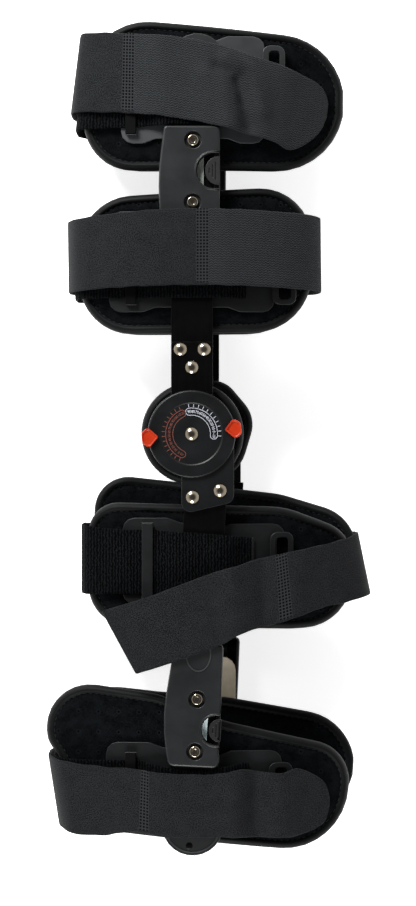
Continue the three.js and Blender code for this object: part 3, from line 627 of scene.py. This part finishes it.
def buildScale(colour, scale):
    bm = bmesh.new()
    low = dial["face"]
    top, middle = low + printed["height"], low + printed["height"] / 2
    near, far = printed["tick"]
    path = capsulePath(scale)
    wide, slim = [insetOutline(path, side * scale["line"] / 2) for side in (-1, 1)]
    ribbon(bm, wide, slim, low, top)
    for i, label in enumerate(scale["labels"]):
        degrees = scale["first"] + (scale["last"] - scale["first"]) * i / (len(scale["labels"]) - 1)
        centre = onDial((near + far) / 2, degrees)
        tick = ops.create_cube(bm, size=1)["verts"]
        size = Vector((far - near, scale["line"] * printed["tickBold"], printed["height"])) * mm
        ops.scale(bm, vec=size, verts=tick)
        ops.rotate(bm, matrix=Matrix.Rotation(math.radians(degrees), 3, "Z"), verts=tick)
        ops.translate(bm, vec=spot(centre.x, centre.y, middle), verts=tick)
        addLabel(bm, str(label), scale["size"], degrees, middle)
    look = "ink" + colour.capitalize()
    makePiece("dial_scale_" + colour, bm, [look], "lateral_dial_plate", replaced=False)


for colour, scale in scales.items():
    buildScale(colour, scale)
print("dials and scales built")

# Domed rivets on the lateral side stand where the CAD heads are, and the medial ones mirror them
rivet = {
    "radius": 4.4, "height": 2.3, "sink": 0.4, "footRadius": 0.3, "points": 36,
    "dome": [(1.0, 0.0), (1.0, 0.13), (0.985, 0.2), (0.93, 0.31), (0.84, 0.45), (0.7, 0.63), (0.52, 0.81),
             (0.32, 0.93), (0.14, 0.985), (0.03, 1.0)],  # shares of radius and height
    "medialShifts": {"pivot_rivet": 0, "arm_rivet_1": 4.5, "arm_rivet_2": 4.5, "arm_rivet_3": 4.5,
                     "bracket_rivet_1": dial["medialShift"], "bracket_rivet_2": dial["medialShift"]},
}


# Where a CAD head stands: x, y and the w of its foot
def seatOf(node):
    low, high = [(corner - hinge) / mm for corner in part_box(node)]
    middle = (low + high) / 2
    return middle.x, middle.y, low.z


def buildRivet(name, node, x, y, foot, side):
    dome = [(rivet["radius"] * r, foot + side * rivet["height"] * h) for r, h in rivet["dome"]]
    bm = bmesh.new()
    turned(bm, x, y, [(rivet["footRadius"], foot)] + dome, rivet["points"])
    makePiece(name, bm, ["rivet"], node, replaced=side > 0)


for node, shift in rivet["medialShifts"].items():
    x, y, foot = seatOf(node)
    foot -= rivet["sink"]
    buildRivet(node + "_finished", node, x, y, foot, 1)
    buildRivet("medial_" + node, node, x + shift, y, -foot, -1)

# Housing screws: a round head with a hexagon socket, each row a radius and a height
screw = {
    "head": [(3.8, 0), (3.8, 1.4), (3.55, 1.9), (3, 2.2), (2.5, 2.15)], "socket": [(1.75, 1.85), (1.75, 0.7)],
    "points": 36,
}


def hexagonRing(x, y, radius, count):
    points = []
    for i in range(count):
        turn = 2 * math.pi * i / count
        flat = math.cos(math.pi / 6) / math.cos((turn % (math.pi / 3)) - math.pi / 6)
        points.append(Vector((x + radius * flat * math.cos(turn), y + radius * flat * math.sin(turn))))
    return points


for node in [f"{segment}_screw_{i}" for segment in ("thigh", "calf") for i in (1, 2)]:
    x, y, foot = seatOf(node)
    bm = bmesh.new()
    stackLevels(bm, [(shape(x, y, radius, screw["points"]), foot + height)
                     for shape, part in ((circleRing, "head"), (hexagonRing, "socket"))
                     for radius, height in screw[part]])
    makePiece(node + "_finished", bm, ["rivet"], node)
print("rivets and screws turned")

# Range stops: a head with a sunken arrow face and a lip over the dial's edge
stop = {
    "angles": {"extension_stop": 7, "flexion_stop": 185}, "points": 60,
    "corners": [(21.8, 0, 0.9), (28.5, -7, 2.6), (33, -3.6, 3), (33, 3.6, 3), (28.5, 7, 2.6)],
    "rows": [(0.95, 47.6), (1, 47.9), (1, 48.8), (0.975, 49.25), (0.95, 49.5), (0.86, 49.5), (0.82, 49.4),
             (0.74, 48.75), (0.7, 48.7), (0.4, 48.7), (0.1, 48.7)],  # share of the outline, w
    "lip": [(29.5, -6, 1), (32.6, -3.6, 3), (32.6, 3.6, 3), (29.5, 6, 1)],
    "lipSpan": (45.4, 48.2), "lipEdge": 0.3, "lipSteps": 5,
}


def turnedBy(outline, degrees):
    spin = Matrix.Rotation(math.radians(degrees), 2)
    return [spin @ point for point in outline]


for node, degrees in stop["angles"].items():
    outline = turnedBy(respaced(roundOutline(stop["corners"]), stop["points"]), degrees)
    bm = bmesh.new()
    stackLevels(bm, [(scaledOutline(outline, share), w) for share, w in stop["rows"]])
    lip = turnedBy(roundOutline(stop["lip"], stop["lipSteps"]), degrees)
    slab(bm, lip, *stop["lipSpan"], stop["lipEdge"])
    makePiece(node + "_finished", bm, ["stop"], node)
print("range stops built")

# Padded liners: a sewn border, then pile, both faces alike
pad = {
    "low": 24.0, "high": 33.0, "fill": 0.7, "points": 168,
    "uneven": 0.3, "unevenScale": 0.045, "facesApart": 40.0,
    "border": [(0.0, 0.0), (0.4, 0.42), (1.1, 0.7), (2.1, 0.9), (3.1, 1.0), (4.2, 0.97), (5.0, 0.8),
               (5.6, 0.6), (6.4, 0.74), (8.0, 0.9), (11.0, 0.98)],  # inset in mm, share of the half thickness
    "sewnRow": 7, "middle": [0.86, 0.68, 0.5, 0.3, 0.1],
    "stitch": {"step": 4.0, "size": (1.35, 0.38, 0.34), "rise": 0.05},
    "puff": {"frames": 20, "pressure": 4, "cap": 1.1},
}
padOutlines = {
    "cuff1_lateral": [(-72.6, 175.5, 34), (102.5, 175, 48), (102.5, 263, 44), (-72, 279, 42)],
    "cuff1_medial": [(-72, 180, 36), (99, 182, 44), (99, 264, 40), (-72, 278, 42)],
    "cuff2_lateral": [(-75.5, 66, 36), (80.5, 68, 40), (80.5, 166, 34), (-75.5, 157, 36)],
    "cuff2_medial": [(-75.5, 68, 38), (80, 69, 42), (80, 164, 34), (-75.5, 156, 36)],
    "cuff3_lateral": [(-69, -127, 26), (66, -130, 60), (108, -128, 34), (108, -66, 26), (62, -48.5, 60),
                      (-69, -45, 20)],
    "cuff3_medial": [(-69, -118, 26), (111, -124, 34), (112, -56, 30), (60, -40.5, 60), (-66, -26, 23)],
    "cuff4_lateral": [(-82, -262, 30), (103, -281, 42), (107, -211, 28), (22, -191, 50), (-22, -173, 50),
                      (-108.5, -161, 30), (-96, -207, 20), (-87.5, -217, 18)],
    "cuff4_medial": [(-80, -260, 30), (108, -264, 42), (112, -194, 36), (24, -180, 60), (-24, -176, 50),
                     (-94, -167, 34)],
}
kneePads = {
    "low": 26.0, "high": 35.5, "fill": 0.8,
    "lateral": circleRing(0.5, 0.5, 34, 96),
    "medial": roundOutline([(-31, -31, 30), (31, -31, 26), (44, 12, 22), (22, 38, 18), (-31, 33, 30)]),
}


# Blows the pad up between its sewn lines, with the movement capped
def puffUp(piece):
    puff = pad["puff"]
    piece.vertex_groups.new(name="sewn")
    cloth = piece.modifiers.new("puff", "CLOTH")
    setUp(cloth.settings, vertex_group_mass="sewn", use_pressure=True, uniform_pressure_force=puff["pressure"])
    cloth.settings.effector_weights.gravity = 0
    for step in range(1, puff["frames"] + 1):
        scene.frame_set(step)
    blown = piece.evaluated_get(bpy.context.evaluated_depsgraph_get()).data
    moves = [blown.vertices[i].co - vert.co for i, vert in enumerate(piece.data.vertices)]
    piece.modifiers.remove(cloth)
    scene.frame_set(1)
    for vert, move in zip(piece.data.vertices, moves):
        vert.co += move * min(1, puff["cap"] * mm / max(move.length, tiny))


def addStitches(bm, points):
    step, size = pad["stitch"]["step"] * mm, Vector(pad["stitch"]["size"]) * mm
    gone = 0.0
    for i, point in enumerate(points):
        run = points[(i + 1) % len(points)] - point
        while gone < run.length:
            stitch = ops.create_icosphere(bm, subdivisions=1, radius=1)["verts"]
            ops.scale(bm, vec=size, verts=stitch)
            ops.rotate(bm, matrix=run.to_track_quat("X", "Z").to_matrix(), verts=stitch)
            ops.translate(bm, vec=point + run.normalized() * gone, verts=stitch)
            gone += step
        gone -= run.length


def buildPad(node, outline, spec, bed, side):
    outline = respaced(outline, pad["points"])
    sewn = pad["sewnRow"]
    middle, half = (spec["low"] + spec["high"]) / 2, (spec["high"] - spec["low"]) / 2
    rows = [(insetOutline(outline, inset), share) for inset, share in pad["border"]]
    rows += [(scaledOutline(rows[-1][0], share), 1.0) for share in pad["middle"]]

    def padRing(points, share, face):
        ring = []
        for point in points:
            place = Vector((point.x, point.y, face * pad["facesApart"])) * pad["unevenScale"]
            dip = abs(noise.noise(place) * pad["uneven"] * share)
            w = middle + face * (half * share - dip) - bed(point.x)
            ring.append(spot(point.x, point.y, w * side))
        return ring

    rings = [padRing(points, share, 1) for points, share in reversed(rows)]
    rings += [padRing(points, share, -1) for points, share in rows[1:]]
    bm = bmesh.new()
    pins = bm.verts.layers.deform.verify()
    loops = ringStack(bm, rings)
    fromRim = {vert: abs(i - len(rows) + 1) for i, loop in enumerate(loops) for vert in loop}
    for vert, steps in fromRim.items():
        if steps in (0, sewn) or steps >= len(pad["border"]) - 1:
            vert[pins][0] = 1.0
    for face in bm.faces:
        face.material_index = int(all(fromRim[vert] <= sewn for vert in face.verts))
    piece = makePiece(node + "_cushion", bm, ["padFace", "padBinding"], node, sharpest=180)
    puffUp(piece)
    bm = bmesh.new()
    line, share = rows[sewn]
    for face in (1, -1):
        addStitches(bm, padRing(line, share + pad["stitch"]["rise"], face))
    makePiece(node + "_stitching", bm, ["stitch"], node, replaced=False, sharpest=180)


for name, corners in padOutlines.items():
    side = 1 if name.endswith("lateral") else -1
    buildPad(name + "_pad", roundOutline(corners), pad, saddle, side)
for name, side in zip(bothSides, (1, -1)):
    buildPad(name + "_knee_pad", kneePads[name], kneePads, lambda x: 0, side)
print("padded liners sewn")

# Straps: a row gives the high edge's x and y, the low edge's x and y, their w, and any lift of the middle
strap = {
    "across": 24, "step": 2.1, "samples": 700, "meshEdge": 1.5,
    "uneven": 0.3, "unevenScale": (0.07, 2), "unevenAbove": 20,
    "ripple": 0.5, "rippleScale": 0.11, "rippleSides": 5, "rippleSeed": 3, "rippleEdge": 6,
}
bandFloor, baseFloor = -49.6, -49.5  # w on the medial side
strapKinds = {
    "band": {
        "thick": 1.5, "floor": bandFloor, "looks": ["bandBrushed", "bandZigzag", "bandMesh"],
        "wrap": [(0, 0), (0.2, -14), (1.6, -24), (6.5, -33.5), (15, -41), (28, -47)],  # inset, w
    },
    "base_strap": {
        "thick": 1.6, "floor": baseFloor, "looks": ["baseStrap", "bandBrushed"],
        "wrap": [(0, 0), (0.2, -14), (1.4, -22.5), (6, -30), (14, -36.5), (27, -43.2)],
    },
}
overShell, overBar, overTail = 37.3, 40.9, 42.1  # w of base straps on shells, bars and housing tails
crown = 0.3


def onShell(x):
    return overShell - saddle(x)


# A row of four has both edges at one x, and a row of three also lies on the shell
def fullRow(row):
    if len(row) > 4:
        return row
    x, highY, lowY, *w = row
    return (x, highY, x, lowY, *(w or [onShell(x)]))


# A strap's rows, with the stretch from its fold (high x, high y, low x, low y) round to the medial side
def strapRows(spec, kind):
    rows = list(spec["rows"])
    if "fold" in spec:
        highX, highY, lowX, lowY = spec["fold"]
        side = math.copysign(1, highX)
        rows += [(highX - side * inset, highY, lowX - side * inset, lowY, w) for inset, w in kind["wrap"]]
        rows += [(x, highY, lowY, kind["floor"]) for x in spec.get("under", ())]
    return [fullRow(row) for row in rows]


straps = {
    "cuff1_band": {"rows": [
        (91.2, 219.5, 90.4, 212.5, 22.2), (89.6, 227, 87, 204, 23.3), (85, 233, 80.5, 196.5, 25.5),
        (74, 238.5, 65, 188.5, 32), (62, 243.5, 54.5, 193.5, 37.5), (38, 251, 37.4, 198, 41.8, 3.5),
        (24, 255, 26, 201, 46.8), (14, 258, 204, 46.6), (-7, 262, -4, 207.5, 45), (-20, 263.5, 210, 44.7),
        (-33, 264.5, 211.5, 41.6), (-50, 266, -52, 213, 36.5), (-66, 267, -70, 214, 31),
        (-72.4, 267, -77.6, 214.3, 25.8), (-74.2, 266.5, -80.4, 214.5, 16),
    ], "fold": (-74.4, 266, -81, 214.5), "under": (-32, 0, 34, 58),
    "mesh": (-47, -37), "zigzag": True, "creases": [
        (3.2, -2.6, (16, 243), (22, 240.5), (29, 237)), (5.4, -5.8, (32, 233.5), (35, 226), (36, 218)),
        (6, -4.6, (36, 222), (38, 204)), (5, 2.4, (24, 248), (37, 241), (44, 229), (47, 214)),
        (6, 1.4, (10, 238), (20, 229), (24, 218), (26, 206)),
    ]},
    "cuff2_band": {"rows": [
        (86, 146, 86.6, 95.5, 0), (84.5, 146, 85, 95.5, 14), (77, 146.5, 96, 27), (63, 147, 96.5, 36.5),
        (42, 148, 97.5, 43.6), (22, 148.6, 98, 47.6), (0, 148.8, 98, 48), (-24, 148, 97.6, 47.5),
        (-44, 146.6, 97, 43.6), (-63, 145, 96, 36.5), (-76, 143.5, -75.5, 95, 28),
        (-82, 143, -81.4, 94.6, 15), (-83, 143, -82.2, 94.6, 0), (-82, 143.5, -81.4, 95, -15),
        (-78.5, 144, -78, 95, -26.5), (-70, 144, 95, -38), (-53, 145, 96, -46.4), (-34, 146, 97, bandFloor),
        (0, 147, 97, bandFloor), (34, 147, 97, bandFloor), (54, 147, 97, -46.4), (72, 146.5, 96, -36),
        (83, 146, 83.4, 95.5, -20),
    ], "mesh": (1.6, 12), "zigzag": True, "loop": True, "creases": [
        (7, 0.5, (-48, 136), (2, 128)), (9, 0.6, (18, 112), (60, 100)),
    ]},
    "cuff3_band": {"rows": [
        (-59.8, -117, -36.9, -158.8, 41), (-44, -112, -25, -155, 45), (-28, -107, -13.3, -151, 47.6),
        (10.5, -92.5, 21.5, -138, 48), (30, -86.5, 33, -131.5, 46.6), (46, -82, 47, -128, 43.5, -1.5),
        (62, -78.5, 66, -122.5, 40.6), (84, -74, 86, -115.5, 33), (101, -70, 104, -112, 24),
        (109, -67, 116, -109, 13),
    ], "fold": (111.5, -66, 120, -108), "under": (60, 34, 6), "mesh": (56, 64.5), "creases": [
        (6.5, -3.6, (46, -84), (50, -130)), (8, 3.2, (26, -90), (31, -134)), (7, 1.6, (70, -84), (72, -118)),
    ]},
    "cuff4_band": {"rows": [
        (92.1, -243.5, -247, 22.2), (90.4, -236, -254.5, 23.3), (87, -230.5, -260, 25.5),
        (70, -221.8, 69, -267, 33), (58, -224.4, 60, -267.3, 37.2, -0.6), (44, -223, 45, -267, 39.6),
        (33, -221.2, 30, -266.5, 43.6), (18, -224, 19, -266, 45.2), (-20, -223.6, -18, -266, 45.2),
        (-36, -221.5, -38, -262.8, 41.2), (-62, -220, -56, -266, 35), (-86.5, -217, -78.5, -266, 29),
        (-95, -214.5, -87, -263, 17),
    ], "fold": (-96, -214, -89, -263), "under": (-36, 0, 34, 58), "mesh": (-35, -28.6), "creases": [
        (6, -3.2, (42, -222), (43, -266)), (7, 2.2, (26, -224), (26, -264)), (7, 2.6, (60, -226), (62, -262)),
        (9, 1.0, (-60, -226), (-44, -260)),
    ]},
    "cuff1_base_strap": {"rows": [
        (41, 248, 203.5), (33, 249, 204, 37.2), (25, 250, 204.3, overTail), (3, 251, 204.3, overTail + crown),
        (-17.5, 252, 204.3, overTail), (-28, 252, 204, 37.4), (-36, 252, 203), (-40.5, 252, 203),
        (-46, 252, 203), (-60, 252, -60.6, 203, 30.6), (-67, 252, -69, 203, 28.2),
        (-71.4, 252, -74.6, 203, 24.4), (-73, 252, -77, 203, 16),
    ], "fold": (-73.2, 252, -77.6, 203)},
    "cuff2_base_strap": {"rows": [
        (36, 139, 89.5), (26, 139, 90, 37.6), (17, 139.5, 90, overBar), (0, 139.5, 90, overBar + crown),
        (-17, 139.5, 90, overBar), (-27, 139.5, 90, 37), (-36, 139.5, 90), (-40.5, 139.5, 90),
        (-47, 139.5, 90), (-55, 139.5, 90, onShell(-54)), (-64, 139.5, 90, 29.6), (-70, 139.5, 90, 27.8),
        (-75.2, 139.5, 90, 24), (-77.3, 139.5, 90, 16),
    ], "fold": (-77.9, 139.5, -77.9, 90)},
    "cuff3_base_strap": {"rows": [
        (41.6, -68.6, -112.5), (32, -67.6, -112, 37), (24, -67, -111, overBar),
        (7, -65.6, -109.6, overBar + crown), (-11, -64.6, -108, overBar), (-18, -64, -107, 37.6),
        (-24, -63.6, -106.8), (-29.4, -63.4, -106.6), (-35, -63.4, -106.5), (-46, -63, -106.5),
        (-58, -62.5, -106.5, 30.6), (-65.5, -61.5, -106.5, 28.7), (-70.6, -60.6, -106.5, 25.6),
        (-72.9, -60, -106.5, 17),
    ], "fold": (-73.6, -60, -73.6, -106.5), "under": (-32, 2), "hem": 2.6},
    "cuff4_base_strap": {"rows": [
        (38, -217.5, -260.5), (31, -218, -261, 38), (24, -219.5, -261.5, overTail),
        (0, -221.2, -262, overTail + crown), (-22, -219, -261, overTail), (-31, -217, -260, 37.6),
        (-36.4, -216, -259), (-40.5, -216, -259), (-46, -216, -259), (-58, -216.4, -57, -259.3, onShell(-57)),
        (-68, -216.4, -64, -259.5, 29.8), (-85, -216, -79, -259.5, 24.2), (-91.8, -215.4, -85, -259.5, 17),
    ], "fold": (-92.8, -215, -85.8, -259.5)},
}


# A smooth curve through points, spaced by the square root of their distance
def curvePoint(points, t, loop):
    count = len(points)
    place = (count if loop else count - 1) * t
    first = min(int(place), count - 1 if loop else count - 2)
    share = place - first
    b, c = points[first % count], points[(first + 1) % count]
    a = points[(first - 1) % count] if loop or first > 0 else b * 2 - c
    d = points[(first + 2) % count] if loop or first + 2 < count else c * 2 - b
    middle = max((c - b).length, tiny) ** 0.5
    before = (b - a).length ** 0.5 or middle
    after = (d - c).length ** 0.5 or middle
    leave = ((b - a) / before - (c - a) / (before + middle) + (c - b) / middle) * middle
    reach = ((c - b) / middle - (d - b) / (middle + after) + (d - c) / after) * middle
    cube, square = share ** 3, share ** 2
    return (b * (2 * cube - 3 * square + 1) + leave * (cube - 2 * square + share)
            + c * (3 * square - 2 * cube) + reach * (cube - square))


# Fine samples along a strap: distance gone, edges, middle, lift and the side that faces out
def strapSamples(rows, loop):
    count = strap["samples"]
    highs = [Vector((row[0], row[1], row[4])) for row in rows]
    lows = [Vector((row[2], row[3], row[4])) for row in rows]
    lifts = [Vector((sum(row[5:]), 0, 0)) for row in rows]
    samples = []
    gone = 0.0
    for i in range(count + 1):
        t = i / count
        high, low = curvePoint(highs, t, loop), curvePoint(lows, t, loop)
        mid, lift = (high + low) / 2, curvePoint(lifts, t, loop).x
        if samples:
            gone += (mid - samples[-1]["mid"]).length
        samples.append({"gone": gone, "high": high, "low": low, "mid": mid, "lift": lift})
    for i, sample in enumerate(samples):
        run = samples[min(i + 1, count)]["mid"] - samples[max(i - 1, 0)]["mid"]
        sample["out"] = Vector((run.z, 0, -run.x)).normalized()
    return samples


def sampleAt(samples, gone):
    place = bisect.bisect_right(samples, gone, 1, len(samples) - 1, key=lambda sample: sample["gone"])
    first, second = samples[place - 1], samples[place]
    share = (gone - first["gone"]) / max(second["gone"] - first["gone"], tiny)
    mixed = {key: first[key].lerp(second[key], share) for key in ("high", "low", "out")}
    mixed["lift"] = first["lift"] + (second["lift"] - first["lift"]) * share
    return mixed


def evenSteps(start, end, step):
    count = max(1, round((end - start) / step))
    return [start + (end - start) * i / count for i in range(count)]


def strapStations(samples, mesh):
    total = samples[-1]["gone"]
    if not mesh:
        return evenSteps(0, total, strap["step"]) + [total], (0, 0)
    left, right = mesh
    inside = [sample["gone"] for sample in samples
              if sample["mid"].z > 0 and left <= sample["mid"].x <= right]
    start, end = ((round(edge / meshPitch - 0.5) + 0.5) * meshPitch for edge in (min(inside), max(inside)))
    stations = evenSteps(0, start, strap["step"]) + evenSteps(start, end, strap["step"])
    return stations + evenSteps(end, total, strap["step"]) + [total], (start, end)


# Creases: width, height, then the points of a line; the highest ridge and the deepest fold count
def creaseLift(x, y, creases):
    place = Vector((x, y))
    lifts = [0.0]
    for width, height, *points in creases:
        nearest = math.inf
        for start, end in zip(points, points[1:]):
            run, off = Vector(end) - Vector(start), place - Vector(start)
            along = max(0.0, min(1.0, off.dot(run) / run.length_squared))
            nearest = min(nearest, (off - run * along).length)
        lifts.append(height * math.exp(-(nearest / width) ** 2))
    return max(lifts) + min(lifts)


def buildStrap(node, spec):
    cuff, slot = node.split("_", 1)
    kind = strapKinds[slot]
    loop = spec.get("loop", False)
    samples = strapSamples(strapRows(spec, kind), loop)
    stations, (meshStart, meshEnd) = strapStations(samples, spec.get("mesh"))
    topSample = max(samples, key=lambda sample: sample["high"].z)
    flip = math.copysign(1, topSample["out"].z)
    alongScale, acrossScale = strap["unevenScale"]
    bm = bmesh.new()
    ops.create_grid(bm, x_segments=len(stations) - 1, y_segments=strap["across"], size=1)
    uvLayer = bm.loops.layers.uv.new("strap")
    cloth = {}  # how far along and across the strap each point is
    for vert in bm.verts:
        gone = stations[round((vert.co.x + 1) / 2 * (len(stations) - 1))]
        share = (vert.co.y + 1) / 2
        offMiddle = abs(2 * share - 1)
        sample = sampleAt(samples, gone)
        cloth[vert] = (gone, share * (sample["high"] - sample["low"]).length)
        point = sample["low"].lerp(sample["high"], share)
        point += sample["out"] * sample["lift"] * (1 - offMiddle ** 2)
        if point.z > 0:
            point += sample["out"] * flip * creaseLift(point.x, point.y, spec.get("creases", ()))
        if abs(point.z) > strap["unevenAbove"]:
            wave = noise.noise(Vector((gone * alongScale, share * acrossScale, len(node))))
            point += sample["out"] * wave * strap["uneven"]
        edgeSide = math.copysign(strap["rippleSides"], share - 0.5)
        ripple = noise.noise(Vector((gone * strap["rippleScale"], edgeSide, strap["rippleSeed"])))
        point.y += ripple * strap["ripple"] * offMiddle ** strap["rippleEdge"]
        point.z = max(point.z, kind["floor"])
        vert.co = spot(*point)
    for face in bm.faces:
        for corner in face.loops:
            corner[uvLayer].uv = Vector(cloth[corner.vert]) * mm
    bm.normal_update()
    top = max(bm.faces, key=lambda face: face.calc_center_median().z)
    if top.normal.z < 0:
        ops.reverse_faces(bm, faces=bm.faces)
    for face in bm.faces:
        gone, wide = [sum(cloth[vert][axis] for vert in face.verts) / len(face.verts) for axis in (0, 1)]
        if meshStart < gone < meshEnd and wide > strap["meshEdge"]:
            face.material_index = 2
        elif gone < spec.get("hem", 0) or spec.get("zigzag") and gone < meshStart:
            face.material_index = 1
    ops.remove_doubles(bm, verts=bm.verts, dist=tiny)
    piece = addPiece(node + "_cloth", bm, kind["looks"], node, replaced=True)
    setUp(piece.modifiers.new("wall", "SOLIDIFY"), thickness=kind["thick"] * mm, offset=0)
    setUp(piece.modifiers.new("soften", "SUBSURF"), levels=1, render_levels=1)
    wide = sum((sample["high"] - sample["low"]).length for sample in samples) / len(samples)


for node, spec in straps.items():
    buildStrap(node, spec)
print("straps laid")

# Floor, light and camera
stage = {
    "floorHalf": 4.0, "floorCells": 4, "floorDrop": 0.0004,
    "floorGreys": (0.9, 0.93), "floorSpeckle": 3, "floorGlow": 0.72,  # a light table
    "skyGreys": (0.95, 0.1), "skyEdges": (0.52, 0.86),  # dark overhead, as under a camera in a light tent
    "lights": {  # place, size, watts
        "key": ((-0.5, 0.92, 0.72), 0.5, 31),
        "fill": ((-0.12, -0.95, 0.6), 0.5, 11),
    },
    "cameraHeight": 1.895, "cameraLens": 108.4, "cameraSensor": 36,
    "frameCentre": (10.82, -12.54),  # mm from the hinge
}


def buildStage():
    bm = bmesh.new()
    cells = stage["floorCells"]
    ops.create_grid(bm, x_segments=cells, y_segments=cells, size=stage["floorHalf"])
    ops.translate(bm, vec=(0, 0, -stage["floorDrop"]), verts=bm.verts)
    mat = startMaterial("floor paper", {
        "Roughness": 0.9, "Specular IOR Level": 0.1, "Emission Color": grey(1),
        "Emission Strength": stage["floorGlow"],
    })
    dark, light = [grey(level) for level in stage["floorGreys"]]
    paint(mat, speckle(mat, objectPlace(mat), stage["floorSpeckle"]), dark, light)
    floor = addMesh("floor", bm, [mat])
    world = bpy.data.worlds.new("studio")
    world.use_nodes = True
    up = axesOf(world, addNode(world, "TexCoord").outputs["Generated"])["Z"]
    low, overhead = [grey(level) for level in stage["skyGreys"]]
    sky = shade(world, up, low, overhead, *stage["skyEdges"])
    plug(world, sky, world.node_tree.nodes["Background"].inputs["Color"])
    scene.world = world
    for name, (place, size, watts) in stage["lights"].items():
        lamp = setUp(bpy.data.lights.new(name, "AREA"), shape="DISK", size=size, energy=watts)
        turn = (-Vector(place)).to_track_quat("-Z", "Y").to_euler()
        setUp(addObject(name, lamp), location=place, rotation_euler=turn)


def placeCamera():
    lens = setUp(bpy.data.cameras.new("camera"), lens=stage["cameraLens"], sensor_width=stage["cameraSensor"])
    x, y = stage["frameCentre"]
    place = (hinge.x + x * mm, hinge.y + y * mm, stage["cameraHeight"])
    scene.camera = setUp(addObject("camera", lens), location=place)
    scene.view_settings.view_transform = "Standard"


buildStage()
placeCamera()
print("stage set")
